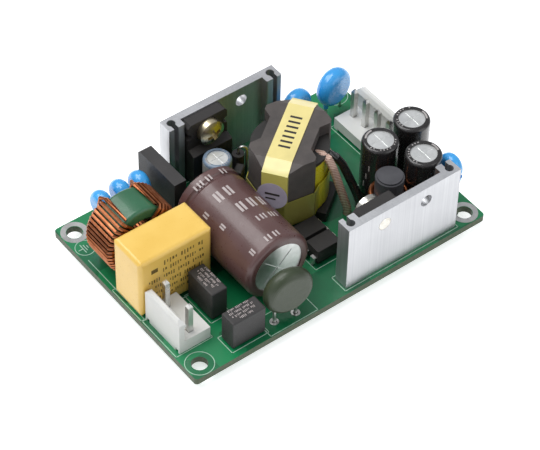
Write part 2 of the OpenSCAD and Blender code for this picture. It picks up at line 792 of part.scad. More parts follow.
// Extrusion with its flat face on y = 0 and its end bosses towards +Y.
module heatsink_section() {
    difference() {
        union() {
            translate([-sink_l / 2, 0]) square([sink_l, sink_web_t]);
            for (s = [-1, 1]) translate([s * (sink_l - sink_boss_w) / 2, sink_boss_d / 2])
                rounded_square([sink_boss_w, sink_boss_d], 0.3);
        }
        for (s = [-1, 1]) translate([s * (sink_l / 2 - slot_inset), slot_depth]) {
            circle(d = sink_slot_d);
            translate([-sink_mouth_w / 2, 0]) square([sink_mouth_w, sink_boss_d]);
        }
    }
}

module heatsink(screw_x, hole_x) {
    difference() {
        linear_extrude(sink_h) heatsink_section();
        translate([screw_x, -e, package_hole_z]) rotate([-90, 0, 0])
            cylinder(d = clamp_screw_d + 2 * slip, h = sink_web_t + 2 * e);
        translate([hole_x, -e, package_hole_z]) rotate([-90, 0, 0])
            cylinder(d = sink_spare_d, h = sink_web_t + 2 * e);
    }
}

module primary_heatsink() {
    color("silver") translate([primary_sink_at[0], primary_sink_at[1], board_t])
        rotate([0, 0, 180])
            heatsink(primary_sink_at[0] - transistor_x, -spare_x);
}

module secondary_heatsink() {
    color("silver") translate([secondary_sink_at[0], secondary_sink_at[1], board_t])
        heatsink(rectifier_x - secondary_sink_at[0], spare_x + 0.4);
}

module heatsink_pins() {
    color("gainsboro") wires(sink_pin_points, sink_pin_d, board_t + 6);
}

// Fully moulded package with its back on y = 0 and its leads at the bottom.
module power_package() {
    step_z = 6.8;
    slope = 0.8;
    draft = 0.35;
    difference() {
        rotate([90, 0, 90]) linear_extrude(package_w, center = true) polygon([
            [0, 0], [package_t - draft, 0], [package_t, 1.5],
            [package_t, package_h - step_z - slope], [package_tab_t, package_h - step_z],
            [package_tab_t, package_h], [0, package_h]
        ]);
        translate([0, -e, package_h - 3.3]) rotate([-90, 0, 0])
            cylinder(d = clamp_screw_d + 0.2, h = package_t + 2 * e);
        // Side notches that the mould leaves beside the screw hole.
        for (s = [-1, 1]) translate([s * package_w / 2, -e, package_h - 3.3])
            rotate([-90, 0, 0]) cylinder(d = 1.8, h = package_t + 2 * e, $fn = 32);
        // Chamfered top corners.
        for (s = [-1, 1]) translate([s * package_w / 2, package_t / 2, package_h])
            rotate([0, 45, 0]) cube([1, package_t + 2, 1], center = true);
        // Ejector mark on the thick part.
        translate([0, package_t - 0.15, 4]) rotate([-90, 0, 0]) cylinder(d = 1.5, h = 1);
        // Sockets that the leads come out of.
        for (x = row(3, package_pitch)) translate([x, package_lead_in, 0])
            cube([package_lead[0] + 2 * slip, package_lead[1] + 2 * slip, 1], center = true);
    }
}

module switching_transistor() {
    color("dimgray") translate([transistor_x, transistor_face, board_t + package_lift])
        rotate([0, 0, 180]) power_package();
}

module switching_transistor_leads() {
    color("silver") flat_leads(transistor_wires, package_lead, board_t + package_lift + 0.4);
}

module output_rectifier() {
    color("dimgray") translate([rectifier_x, rectifier_face, board_t + package_lift])
        power_package();
}

module output_rectifier_leads() {
    color("silver") flat_leads(rectifier_wires, package_lead, board_t + package_lift + 0.4);
}

// Pan head screw with its washer; the head sits on y = 0 and faces +Y.
module clamp_screw() {
    head_d = 2 * clamp_screw_d;
    head_h = 1.9;
    washer_t = 0.6;
    cross_w = 0.9;
    reach = package_tab_t + sink_web_t;
    rotate([-90, 0, 0]) difference() {
        union() {
            translate([0, 0, -reach]) cylinder(d = clamp_screw_d, h = reach);
            cylinder(d = head_d - 0.2, h = washer_t);
            translate([0, 0, washer_t]) rotate_extrude() intersection() {
                square([head_d / 2, head_h]);
                translate([0, head_h - head_d]) circle(r = head_d, $fn = 96);
            }
        }
        for (a = [20, 110]) rotate([0, 0, a]) translate([0, 0, washer_t + head_h])
            cube([head_d * 0.55, cross_w, 2.2], center = true);
    }
}

module transistor_screw() {
    color("tan") translate([
        transistor_x, transistor_face - package_tab_t, board_t + package_hole_z
    ]) rotate([0, 0, 180]) clamp_screw();
}

module rectifier_screw() {
    color("gainsboro") translate([
        rectifier_x, rectifier_face + package_tab_t, board_t + package_hole_z
    ]) clamp_screw();
}

// ---- radial electrolytic capacitors ----

sleeve_t = 0.2;

module radial_can(at, d, h, points) {
    can_r = d / 2 - sleeve_t - slip / 2;
    color("silver") {
        translate([at[0], at[1], board_t]) difference() {
            rotate_extrude() translate([0, h - 0.3]) mirror([0, 1])
                can_profile(can_r, h - 0.6, 1.6, 0.5, 0.6);
            // Vent scores pressed into the top.
            for (a = [0, 90]) rotate([0, 0, a]) translate([0, 0, h - 0.3])
                cube([can_r * 1.2, 0.3, 0.24], center = true);
        }
        wires(points, thin_wire_d, board_t + 0.5);
    }
}

module radial_sleeve(at, d, h) {
    gap = slip / 2;
    can_r = d / 2 - sleeve_t - gap;
    translate([at[0], at[1], board_t]) rotate_extrude() difference() {
        translate([0, h]) mirror([0, 1]) can_profile(d / 2, h, 1.9, 0.5, 0.7);
        translate([0, h - 0.3 + gap]) mirror([0, 1])
            can_profile(can_r + gap, h - 0.6 + 2 * gap, 1.6 + gap, 0.5 - gap, 0.6);
        translate([0, h - 1]) square([d * 0.36, 2]);
        translate([0, -e]) square([d * 0.36, 1]);
    }
}

module small_capacitor_sleeve() {
    color("lightsteelblue") radial_sleeve(small_cap_at, small_cap_d, small_cap_h);
}

module output_capacitor(i) {
    color("dimgray") radial_sleeve(out_cap_at[i], out_cap_d, out_cap_h);
}

module output_capacitor_1() { output_capacitor(0); }
module output_capacitor_2() { output_capacitor(1); }
module output_capacitor_3() { output_capacitor(2); }

module capacitor_cans() {
    radial_can(small_cap_at, small_cap_d, small_cap_h, small_cap_wires);
    for (p = out_cap_at)
        radial_can(p, out_cap_d, out_cap_h, along_y(p, pair(out_cap_pitch)));
}

// ---- snubber ----

snubber_diode_d = 2.7;
snubber_diode_l = 6.2;
snubber_top = board_t + snubber_diode_l + 1.6;

module snubber_diode() {
    color("dimgray") translate([snubber_diode_at[0], snubber_diode_at[1], board_t + 0.6])
        difference() {
            cylinder(d = snubber_diode_d, h = snubber_diode_l);
            translate([0, 0, snubber_diode_l - 0.5])
                cylinder(d = stout_wire_d + 2 * slip, h = 1, $fn = 24);
            translate([0, 0, -e]) cylinder(d = stout_wire_d + 2 * slip, h = 1, $fn = 24);
        }
}

// The upper lead is bent over in a hairpin and goes down beside the body.
module snubber_diode_lead() {
    reach = norm(hairpin);
    body_top = board_t + 0.6 + snubber_diode_l - 0.4;
    arch_z = snubber_top;
    color("silver") {
        wires([snubber_diode_wires[0]], thin_wire_d, board_t + 1);
        translate([snubber_diode_at[0], snubber_diode_at[1], body_top])
            cylinder(d = thin_wire_d, h = arch_z - body_top, $fn = 24);
        translate([snubber_diode_at[0], snubber_diode_at[1], arch_z])
            rotate([0, 0, atan2(hairpin[1], hairpin[0])]) translate([reach / 2, 0, 0])
                rotate([90, 0, 0]) rotate_extrude(angle = 180, $fn = 48)
                    translate([reach / 2, 0]) circle(d = thin_wire_d, $fn = 24);
        wires([snubber_diode_wires[1]], thin_wire_d, arch_z);
    }
}

module snubber_capacitor() {
    color("dimgray") {
        translate([snubber_cap_at[0], snubber_cap_at[1], board_t])
            rotate([0, 0, core_turn]) moulded_box([3, 2, 6], 0.4);
        wires(snubber_cap_wires, thin_wire_d, board_t + 1);
    }
}

// ---- transformer: ferrite core with cut corners, turned on the board ----

core_half = core_h / 2;
ramp_l = 3;
ramp_h = 1.4;
core_z = board_t + core_lift;
bobbin_flange_t = 0.8;
post_gap = 0.25;
bobbin_wall = 0.8;
window_h = core_h - 2 * core_plate_t;
bobbin_tube_d = core_post_d + 2 * post_gap + 2 * bobbin_wall;

module on_core() {
    translate([core_at[0], core_at[1], core_z]) rotate([0, 0, core_turn]) children();
}

// Square on its corner, cut off at the ends and at the wings; grown by t.
core_wing = 7.1;
module core_block(t) {
    intersection() {
        rotate([0, 0, 45]) square(core_side + 2 * t, center = true);
        square([core_l + 2 * t, 2 * core_wing + 2 * t], center = true);
    }
}

// The core's plan: the block with a notch in both sides.
module core_outline() {
    wing = core_wing;
    notch_w = 3.35;
    difference() {
        core_block(0);
        for (s = [-1, 1]) scale([1, s]) polygon([
            [-notch_w, core_waist / 2], [notch_w, core_waist / 2],
            [notch_w + 2, wing + 0.1], [notch_w + 2, wing + 2],
            [-notch_w - 2, wing + 2], [-notch_w - 2, wing + 0.1]
        ]);
    }
}

// The lower half; the upper half is its mirror image.
module core_halfshell() {
    difference() {
        linear_extrude(core_half) core_outline();
        translate([0, 0, core_plate_t]) difference() {
            cylinder(d = core_window_d, h = core_half, $fn = 96);
            translate([0, 0, -e]) cylinder(d = core_post_d, h = core_half + 2 * e);
        }
        // The window runs out through both open sides.
        translate([0, 0, core_plate_t + core_half / 2]) difference() {
            cube([2 * 5.1, core_side + 4, core_half], center = true);
            cylinder(d = core_window_d - 1, h = core_half + 2 * e, center = true);
        }
        // Ramps at the ends of the outer face.
        for (s = [-1, 1]) translate([s * core_l / 2, 0, 0])
            rotate([0, -s * atan2(ramp_h, ramp_l), 0]) translate([0, 0, -2 + ramp_offset])
                cube([3 * ramp_l, core_side + 4, 4], center = true);
    }
}
ramp_offset = ramp_h * cos(atan2(ramp_h, ramp_l));

module transformer_core_lower() {
    color("dimgray") on_core() core_halfshell();
}

module transformer_core_upper() {
    color("dimgray") on_core() translate([0, 0, core_h]) mirror([0, 0, 1]) core_halfshell();
}

module transformer_bobbin() {
    rail_l = 9.6;
    rail_w = 2.2;
    rail_top = -0.3;
    rail_foot = 0.2 - core_lift;
    web_v = 5.7;
    fit = 0.15;
    color("darkslategray") on_core() {
        difference() {
            union() {
                translate([0, 0, core_plate_t + fit])
                    cylinder(d = bobbin_tube_d, h = window_h - 2 * fit);
                for (z = [core_plate_t + fit, core_h - core_plate_t - fit - bobbin_flange_t])
                    translate([0, 0, z])
                        cylinder(d = core_window_d - 2 * fit, h = bobbin_flange_t, $fn = 96);
                // Pin rails outside the waist, carried by the lower flange.
                for (a = [0, 180]) rotate([0, 0, a]) {
                    translate([-rail_l / 2, transformer_pin_v - rail_w / 2, rail_foot])
                        cube([rail_l, rail_w, rail_top - rail_foot]);
                    translate([-3, web_v, rail_top - 0.9])
                        cube([6, 2.1, core_plate_t + fit + 0.4 - rail_top + 0.9]);
                }
            }
            translate([0, 0, core_plate_t]) cylinder(d = core_post_d + 2 * post_gap,
                h = window_h);
            // Sockets for the pins.
            for (u = row(4, 2.54), v = [-transformer_pin_v, transformer_pin_v])
                translate([u, v, -core_lift - e])
                    cylinder(d = thin_wire_d + 2 * slip, h = core_lift - 1 + e, $fn = 24);
        }
    }
}

module transformer_winding() {
    low = core_plate_t + 0.15 + bobbin_flange_t;
    color("gold") on_core() translate([0, 0, low]) difference() {
        cylinder(d = core_window_d - 0.7, h = core_h - 2 * low, $fn = 96);
        translate([0, 0, -e])
            cylinder(d = bobbin_tube_d + 2 * slip, h = core_h);
    }
}

// Side view of the core with its ramps, grown by t.
module core_loop(t) {
    flat = core_l / 2 - ramp_l;
    end = core_l / 2 + t;
    polygon([
        [-flat, core_h + t], [flat, core_h + t], [end, core_h - ramp_h + t * 0.6],
        [end, ramp_h - t * 0.6], [flat, -t], [-flat, -t],
        [-end, ramp_h - t * 0.6], [-end, core_h - ramp_h + t * 0.6]
    ]);
}

module transformer_core_tape() {
    color("khaki") on_core() difference() {
        intersection() {
            rotate([90, 0, 0]) linear_extrude(core_tape_w, center = true)
                core_loop(slip + tape_t);
            // Flat over the corners above the belt, tight to them behind it.
            union() {
                translate([0, 0, -1]) linear_extrude(core_h) core_block(slip + tape_t);
                translate([0, 0, belt_h + slip]) linear_extrude(core_h)
                    square([core_l + 2, core_tape_w], center = true);
            }
        }
        intersection() {
            rotate([90, 0, 0]) linear_extrude(core_tape_w + 1, center = true)
                core_loop(slip);
            translate([0, 0, -1]) linear_extrude(core_h + 2) core_block(slip);
        }
    }
}

// Plan of the belt: round the four legs' corners and the bulging winding.
function belt_outline(grow) =
    let (
        half_l = core_l / 2 + grow, half_s = core_side / 2 + grow,
        tip = core_side * sqrt(0.5) + grow * sqrt(2) - half_l,
        wing = core_wing + grow, shoulder = core_side * sqrt(0.5) + grow * sqrt(2) - wing,
        r = max(core_window_d / 2 - 0.25 + grow, wing + 0.3),
        swing = acos(wing / r)
    )
    concat(
        [[half_l, -tip], [half_l, tip], [shoulder, wing]],
        [for (i = [0:8]) let (a = 90 - swing * 0.9 + i * swing * 0.225)
            [r * cos(a), r * sin(a)]],
        [[-shoulder, wing], [-half_l, tip], [-half_l, -tip], [-shoulder, -wing]],
        [for (i = [0:8]) let (a = 270 - swing * 0.9 + i * swing * 0.225)
            [r * cos(a), r * sin(a)]],
        [[shoulder, -wing]]
    );

module transformer_belt() {
    inner = slip * 2 + tape_t;
    color("gold") on_core() linear_extrude(belt_h) difference() {
        polygon(belt_outline(inner + tape_t));
        polygon(belt_outline(inner));
    }
}

module transformer_pins() {
    color("silver") wires(transformer_wires, thin_wire_d, board_t + core_lift - 1 - slip);
}

module fly_lead(route, d) {
    points = placed(route);
    swept_tube(points, [for (p = points) [1, 0, 0]], d, 12);
}

module fly_lead_litz() {
    color("rosybrown") fly_lead(litz_route, litz_d);
}

module fly_lead_sleeved() {
    color("dimgray") fly_lead(sleeved_route, sleeved_d);
}

// ---- output inductor ----

module output_inductor_core() {
    color("dimgray") translate([rod_at[0], rod_at[1], board_t])
        rotate_extrude() union() {
            square([rod_d / 2, rod_h - 0.4]);
            square([rod_d / 2 - 0.4, rod_h]);
        }
}

// Close wound coil: one ring of wire for each turn, pressed together.
module output_inductor_winding() {
    first_z = board_t + 1.6;
    pitch = rod_wire_d * 0.97;
    color("peru") {
        for (i = [0:rod_turns - 1]) translate([rod_at[0], rod_at[1], first_z + i * pitch])
            rotate_extrude($fn = 64) translate([coil_r, 0]) circle(d = rod_wire_d, $fn = 32);
        translate([rod_wires[0][0], rod_wires[0][1], 0])
            cylinder(d = stout_wire_d, h = first_z, $fn = 24);
        translate([rod_wires[1][0], rod_wires[1][1], 0])
            cylinder(d = stout_wire_d, h = first_z, $fn = 24);
    }
}

// ---- optocouplers ----

module optocoupler(at) {
    waist = opto_h * 0.55;
    lift = 0.4;
    color("dimgray") translate([at[0], at[1], board_t + lift]) intersection() {
        rotate([90, 0, 0]) linear_extrude(opto_w, center = true) polygon([
            [-opto_l / 2 + 0.25, 0], [opto_l / 2 - 0.25, 0], [opto_l / 2, waist],
            [opto_l / 2 - 0.3, opto_h], [-opto_l / 2 + 0.3, opto_h], [-opto_l / 2, waist]
        ]);
        rotate([90, 0, 90]) linear_extrude(opto_l, center = true) polygon([
            [-opto_w / 2 + 0.2, 0], [opto_w / 2 - 0.2, 0], [opto_w / 2, waist],
            [opto_w / 2 - 0.25, opto_h], [-opto_w / 2 + 0.25, opto_h], [-opto_w / 2, waist]
        ]);
    }
}

module optocoupler_1() { optocoupler(opto_1_at); }
module optocoupler_2() { optocoupler(opto_2_at); }

module optocoupler_leads() {
    knee_z = board_t + 0.4 + opto_h * 0.55;
    color("silver") for (p = [opto_1_at, opto_2_at], s = [-1, 1], y = pair(2.54)) {
        // Shoulder from the body to the row, then the leg through the board.
        inner = opto_l / 2;
        outer = opto_row / 2 + opto_lead[1] / 2;
        translate([p[0] + (s > 0 ? inner : -outer), p[1] + y - 0.6, knee_z - 0.3])
            cube([outer - inner, 1.2, 0.3]);
        translate([p[0] + s * opto_row / 2, p[1] + y, 0]) {
            translate([-opto_lead[1] / 2, -0.6, board_t + 0.6])
                cube([opto_lead[1], 1.2, knee_z - board_t - 0.6]);
            translate([-opto_lead[1] / 2, -opto_lead[0] / 2, 0])
                cube([opto_lead[1], opto_lead[0], board_t + 0.6]);
        }
    }
}

// ---- parts soldered flat under the board ----

module chip(at, size) {
    translate([at[0], at[1], -size[2] / 2]) cube(size, center = true);
}

module surface_mount_parts() {
    controller_at = [from_left(27), from_front(24)];
    body = [3.9, 4.9, 1.3];
    color("dimgray") {
        chip(controller_at, body);
        for (y = row(4, 1.27), s = [-1, 1])
            chip(controller_at + [s * 2.6, y], [1.2, 0.42, 0.5]);
        for (i = [0:3]) chip([from_left(22 + i * 3.2), from_front(17)], [1.2, 2, 0.5]);
        for (i = [0:2]) chip([from_left(59 + i * 2.8), from_front(30)], [1.2, 2, 0.5]);
    }
}

pcb();
solder_joints();
input_header();
input_header_pins();
output_header();
output_header_pins();
fuse_1();
fuse_2();
film_capacitor();
choke_core();
choke_winding_left();
choke_winding_right();
thermistor();
thermistor_leads();
bridge_rectifier();
bridge_rectifier_leads();
bulk_capacitor_sleeve();
bulk_capacitor_can();
bulk_capacitor_seal();
bulk_capacitor_leads();
disc_capacitor_1();
disc_capacitor_2();
disc_capacitor_3();
disc_capacitor_4();
disc_capacitor_5();
disc_capacitor_6();
disc_capacitor_leads();
primary_heatsink();
secondary_heatsink();
heatsink_pins();
switching_transistor();
switching_transistor_leads();
transistor_screw();
output_rectifier();
output_rectifier_leads();
rectifier_screw();
small_capacitor_sleeve();
capacitor_cans();
snubber_diode();
snubber_diode_lead();
snubber_capacitor();
transformer_core_lower();
transformer_core_upper();
transformer_bobbin();
transformer_winding();
transformer_core_tape();
transformer_belt();
transformer_pins();
fly_lead_litz();
fly_lead_sleeved();
output_capacitor_1();
output_capacitor_2();
output_capacitor_3();
output_inductor_core();
output_inductor_winding();
optocoupler_1();
optocoupler_2();
optocoupler_leads();
surface_mount_parts();
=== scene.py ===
# %% [markdown]
# An open frame power supply: a green board crowded with parts, screwed down by its corners.
# The solids are already there, one object for each piece, so this script gives each of them its
# finish and adds what is printed, stuck or tinned on. Everything is in metres, and the origin is
# the centre of the four screw holes, on the underside of the board.

import math
import bmesh
import bpy
from mathutils import Matrix, Vector


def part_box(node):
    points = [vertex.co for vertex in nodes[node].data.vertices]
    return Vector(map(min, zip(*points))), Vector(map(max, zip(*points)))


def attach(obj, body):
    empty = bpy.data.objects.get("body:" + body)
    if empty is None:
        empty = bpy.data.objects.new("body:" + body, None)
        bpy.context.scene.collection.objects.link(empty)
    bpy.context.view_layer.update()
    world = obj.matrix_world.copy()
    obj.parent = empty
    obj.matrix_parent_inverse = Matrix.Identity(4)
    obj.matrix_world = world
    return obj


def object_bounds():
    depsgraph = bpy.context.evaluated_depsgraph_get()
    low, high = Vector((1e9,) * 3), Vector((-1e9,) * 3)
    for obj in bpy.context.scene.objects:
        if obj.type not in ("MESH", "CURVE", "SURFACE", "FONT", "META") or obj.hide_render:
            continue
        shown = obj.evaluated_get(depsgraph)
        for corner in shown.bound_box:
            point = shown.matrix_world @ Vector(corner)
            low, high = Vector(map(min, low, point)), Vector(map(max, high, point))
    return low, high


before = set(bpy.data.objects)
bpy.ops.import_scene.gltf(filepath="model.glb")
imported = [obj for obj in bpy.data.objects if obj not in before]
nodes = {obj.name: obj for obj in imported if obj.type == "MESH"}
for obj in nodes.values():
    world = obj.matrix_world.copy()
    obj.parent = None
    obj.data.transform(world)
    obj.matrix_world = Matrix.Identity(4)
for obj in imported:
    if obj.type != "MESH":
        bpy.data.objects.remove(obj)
solid_box = [list(corner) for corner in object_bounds()]
MM = 0.001
print(len(nodes), "solids loaded, box", solid_box)

# %% [markdown]
# The camera comes first, because the sizes of fine details only matter as far as it can see them.
# A long lens far away keeps the upright edges nearly parallel, as in a catalogue picture. The
# camera's three axes are put in a matrix directly, which is simpler to check than three angles.

# %% Camera
CAMERA_TURN = -38.549
CAMERA_RISE = 47.008
CAMERA_ROLL = 1.502
CAMERA_PLACE = (-0.21201, -0.26592, 0.36560)
CAMERA_LENS = 156.9


def camera_axes(turn, rise, roll):
    """The camera's right, up and back directions."""
    a, e, r = (math.radians(v) for v in (turn, rise, roll))
    back = Vector((math.sin(a) * math.cos(e), -math.cos(a) * math.cos(e), math.sin(e)))
    right = (-back).cross(Vector((0, 0, 1))).normalized()
    up = right.cross(-back)
    return (math.cos(r) * right + math.sin(r) * up,
            -math.sin(r) * right + math.cos(r) * up, back)


camera = bpy.data.objects.new("camera", bpy.data.cameras.new("camera"))
bpy.context.collection.objects.link(camera)
camera.matrix_world = (Matrix.Translation(CAMERA_PLACE)
                       @ Matrix(camera_axes(CAMERA_TURN, CAMERA_RISE, CAMERA_ROLL)).transposed().to_4x4())
camera.data.lens = CAMERA_LENS
camera.data.sensor_width = 36
camera.data.clip_start, camera.data.clip_end = 0.01, 20
bpy.context.scene.camera = camera
bpy.context.scene.view_settings.view_transform = "Standard"
print("camera", tuple(round(v, 4) for v in camera.location), "lens", camera.data.lens)

# %% [markdown]
# Small electronics look best under a big soft light. One broad panel hangs above and behind, so
# the tops are the brightest faces. Two weaker ones lift the front and the left side, and the pale
# world fills the rest.

# %% Lights
BOARD_MIDDLE = Vector((0, 0, 0.005))


def place_panel(name, at, size, power, colour=(1, 1, 1)):
    """A square area light that faces the middle of the board."""
    panel = bpy.data.objects.new(name, bpy.data.lights.new(name, "AREA"))
    panel.data.size = size
    panel.data.energy = power
    panel.data.color = colour
    panel.location = at
    panel.rotation_mode = "QUATERNION"
    panel.rotation_quaternion = (Vector(at) - BOARD_MIDDLE).to_track_quat("Z", "Y")
    bpy.context.collection.objects.link(panel)
    return panel


place_panel("top_panel", (-0.16, 0.22, 0.62), 0.55, 3.9)
place_panel("front_panel", (0.25, -0.55, 0.35), 0.5, 0.9)
place_panel("left_panel", (-0.6, -0.1, 0.3), 0.4, 0.2)

world = bpy.data.worlds.new("studio")
bpy.context.scene.world = world
world.use_nodes = True
world.node_tree.nodes["Background"].inputs["Color"].default_value = (0.93, 0.95, 1, 1)
world.node_tree.nodes["Background"].inputs["Strength"].default_value = 0.45
print("three panels and the world face", tuple(BOARD_MIDDLE))

# %% [markdown]
# The floor is a plain pale sheet, level with the soldered ends that the board rests on. Brighter
# lamps would whiten it, but they would bleach the parts too. So it has a little white of its own,
# which only the camera and reflections see, and it still takes the shadow.

# %% Floor
FLOOR_Z = solid_box[0][2]
FLOOR_WHITE = 0.6
sheet = bmesh.new()
bmesh.ops.create_grid(sheet, x_segments=1, y_segments=1, size=1.5)
bmesh.ops.translate(sheet, verts=sheet.verts, vec=(0, 0, FLOOR_Z))
floor_mesh = bpy.data.meshes.new("floor")
sheet.to_mesh(floor_mesh)
sheet.free()
floor = bpy.data.objects.new("floor", floor_mesh)
bpy.context.collection.objects.link(floor)
paper = bpy.data.materials.new("floor_paper")
paper.use_nodes = True
paper_nodes, paper_links = paper.node_tree.nodes, paper.node_tree.links
paper_shader = paper_nodes["Principled BSDF"]
for socket, value in (("Base Color", (0.9, 0.9, 0.9, 1)), ("Roughness", 0.9),
                      ("Emission Color", (1, 1, 1, 1))):
    paper_shader.inputs[socket].default_value = value
seen = paper_nodes.new("ShaderNodeLightPath")
whole = seen.outputs["Is Camera Ray"]
for ray in ("Is Glossy Ray", "Is Transmission Ray"):
    either = paper_nodes.new("ShaderNodeMath")
    either.operation = "MAXIMUM"
    paper_links.new(whole, either.inputs[0])
    paper_links.new(seen.outputs[ray], either.inputs[1])
    whole = either.outputs["Value"]
whitened = paper_nodes.new("ShaderNodeMath")
whitened.operation = "MULTIPLY"
whitened.inputs[1].default_value = FLOOR_WHITE
paper_links.new(whole, whitened.inputs[0])
paper_links.new(whitened.outputs["Value"], paper_shader.inputs["Emission Strength"])
floor_mesh.materials.append(paper)
print("floor at", FLOOR_Z)

# %% [markdown]
# Colours are easier to judge as screen values from 0 to 255, but a shader wants linear light. A
# short helper turns one into the other.

# %% Colour helper


def screen(r, g, b):
    """A screen colour as linear light."""
    def linear(v):
        v /= 255
        return v / 12.92 if v <= 0.04045 else ((v + 0.055) / 1.055) ** 2.4
    return (linear(r), linear(g), linear(b), 1)


print("mid grey", tuple(round(v, 3) for v in screen(128, 128, 128)))

# %% [markdown]
# Each finish starts from a Principled shader. Its plain numbers are set on its own sockets, so
# that they stay with it in an export, and a small class keeps adding and joining nodes short.

# %% Finish helper


class Finish:
    """A material under construction, with short ways to add and join nodes."""

    def __init__(self, name, colour, rough, metal=0.0, coat=0.0, coat_rough=0.1):
        self.material = bpy.data.materials.new(name)
        self.material.use_nodes = True
        self.tree = self.material.node_tree
        self.shader = self.tree.nodes["Principled BSDF"]
        self.shader.inputs["Base Color"].default_value = colour
        self.shader.inputs["Roughness"].default_value = rough
        self.shader.inputs["Metallic"].default_value = metal
        self.shader.inputs["Coat Weight"].default_value = coat
        self.shader.inputs["Coat Roughness"].default_value = coat_rough

    def add(self, kind, **settings):
        node = self.tree.nodes.new(kind)
        for key, value in settings.items():
            setattr(node, key, value)
        return node

    def join(self, source, target):
        self.tree.links.new(source, target)

    def place(self):
        """The object's own coordinates."""
        if not hasattr(self, "_place"):
            self._place = self.add("ShaderNodeTexCoord").outputs["Object"]
        return self._place

    def group(self, tree, **values):
        """Puts a shared effect in, with its own values."""
        node = self.add("ShaderNodeGroup", node_tree=tree)
        for key, value in values.items():
            node.inputs[key.replace("_", " ")].default_value = value
        self.join(self.place(), node.inputs["Vector"])
        return node

    def bump(self, height, strength, distance):
        """Turns a height into a normal for the shader."""
        node = self.add("ShaderNodeBump")
        node.inputs["Strength"].default_value = strength
        node.inputs["Distance"].default_value = distance
        self.join(height, node.inputs["Height"])
        self.join(node.outputs["Normal"], self.shader.inputs["Normal"])
        return node


print("a finish has", [name for name in vars(Finish) if not name.startswith("_")])

# %% [markdown]
# The shared effects are node groups, and most of them need the same few steps: sockets, a noise,
# a value spread over a new range, and a mix of two colours. Each step is a short helper.

# %% Node helpers


def new_group(name, sockets_in, sockets_out):
    """An empty node group with its sockets; each socket is (name, kind, default)."""
    tree = bpy.data.node_groups.new(name, "ShaderNodeTree")
    for direction, sockets in (("INPUT", sockets_in), ("OUTPUT", sockets_out)):
        for title, kind, default in sockets:
            socket = tree.interface.new_socket(title, in_out=direction, socket_type=kind)
            if default is not None:
                socket.default_value = default
    return tree, tree.nodes.new("NodeGroupInput"), tree.nodes.new("NodeGroupOutput")


def noise(tree, vector, scale, detail, rough=0.5):
    node = tree.nodes.new("ShaderNodeTexNoise")
    node.inputs["Scale"].default_value = scale
    node.inputs["Detail"].default_value = detail
    node.inputs["Roughness"].default_value = rough
    tree.links.new(vector, node.inputs["Vector"])
    return node


def ramp(tree, value, low, high, to_low=0.0, to_high=1.0):
    """A value spread from [low, high] to [to_low, to_high] and held there."""
    node = tree.nodes.new("ShaderNodeMapRange")
    for key, number in (("From Min", low), ("From Max", high), ("To Min", to_low),
                        ("To Max", to_high)):
        node.inputs[key].default_value = number
    tree.links.new(value, node.inputs["Value"])
    return node


def blend_colour(tree, factor, a, b):
    """Mixes two colours; a and b are sockets or colours."""
    node = tree.nodes.new("ShaderNodeMix")
    node.data_type = "RGBA"
    tree.links.new(factor, node.inputs["Factor"])
    for value, key in ((a, "A"), (b, "B")):
        socket = [s for s in node.inputs if s.name == key and s.type == "RGBA"][0]
        if hasattr(value, "is_linked"):
            tree.links.new(value, socket)
        else:
            socket.default_value = value
    return [s for s in node.outputs if s.type == "RGBA"][0]


print("node helpers ready")

# %% [markdown]
# Moulded plastic, dipped coatings and paint are never one flat colour. Seen close, they have a
# slow cloudiness in the colour, a fine grain from the mould and a shine that varies a little. One
# node group makes all three from noise, and each finish places it with its own scale and depth.

# %% Shared effect: moulded surface
moulded, start, end = new_group(
    "moulded_surface",
    [("Vector", "NodeSocketVector", None), ("Colour", "NodeSocketColor", None),
     ("Shade", "NodeSocketColor", None), ("Grain Scale", "NodeSocketFloat", 3000.0),
     ("Cloud Scale", "NodeSocketFloat", 120.0), ("Shine", "NodeSocketFloat", 0.4)],
    [("Colour", "NodeSocketColor", None), ("Roughness", "NodeSocketFloat", None),
     ("Height", "NodeSocketFloat", None)])
cloud = noise(moulded, start.outputs["Vector"], 120, 3)
moulded.links.new(start.outputs["Cloud Scale"], cloud.inputs["Scale"])
grain = noise(moulded, start.outputs["Vector"], 3000, 2, 0.6)
moulded.links.new(start.outputs["Grain Scale"], grain.inputs["Scale"])
clouds = ramp(moulded, cloud.outputs["Fac"], 0.35, 0.65)
tone = blend_colour(moulded, clouds.outputs["Result"], start.outputs["Colour"],
                    start.outputs["Shade"])
moulded.links.new(tone, end.inputs["Colour"])
spread = ramp(moulded, grain.outputs["Fac"], 0.3, 0.7, -0.07, 0.07)
shine = moulded.nodes.new("ShaderNodeMath")
shine.operation = "ADD"
moulded.links.new(spread.outputs["Result"], shine.inputs[0])
moulded.links.new(start.outputs["Shine"], shine.inputs[1])
moulded.links.new(shine.outputs["Value"], end.inputs["Roughness"])
moulded.links.new(grain.outputs["Fac"], end.inputs["Height"])


def moulded_finish(name, colour, shade, shine, grain_scale=3000.0, cloud_scale=120.0,
                   depth=0.03, coat=0.0, metal=0.0):
    """A finish for plastic, paint or a dipped coating."""
    finish = Finish(name, colour, shine, metal, coat)
    effect = finish.group(moulded, Colour=colour, Shade=shade, Shine=shine,
                          Grain_Scale=grain_scale, Cloud_Scale=cloud_scale)
    finish.join(effect.outputs["Colour"], finish.shader.inputs["Base Color"])
    finish.join(effect.outputs["Roughness"], finish.shader.inputs["Roughness"])
    finish.bump(effect.outputs["Height"], 0.5, depth * MM)
    return finish


print("group", moulded.name, "with", len(moulded.nodes), "nodes")

# %% [markdown]
# Bare metal shows how it was made. An extruded heatsink has fine lines along the way that it left
# the die, and a drawn can is brushed round. Stretching a noise texture along one axis gives such
# lines, so this group takes a stretch for each axis.

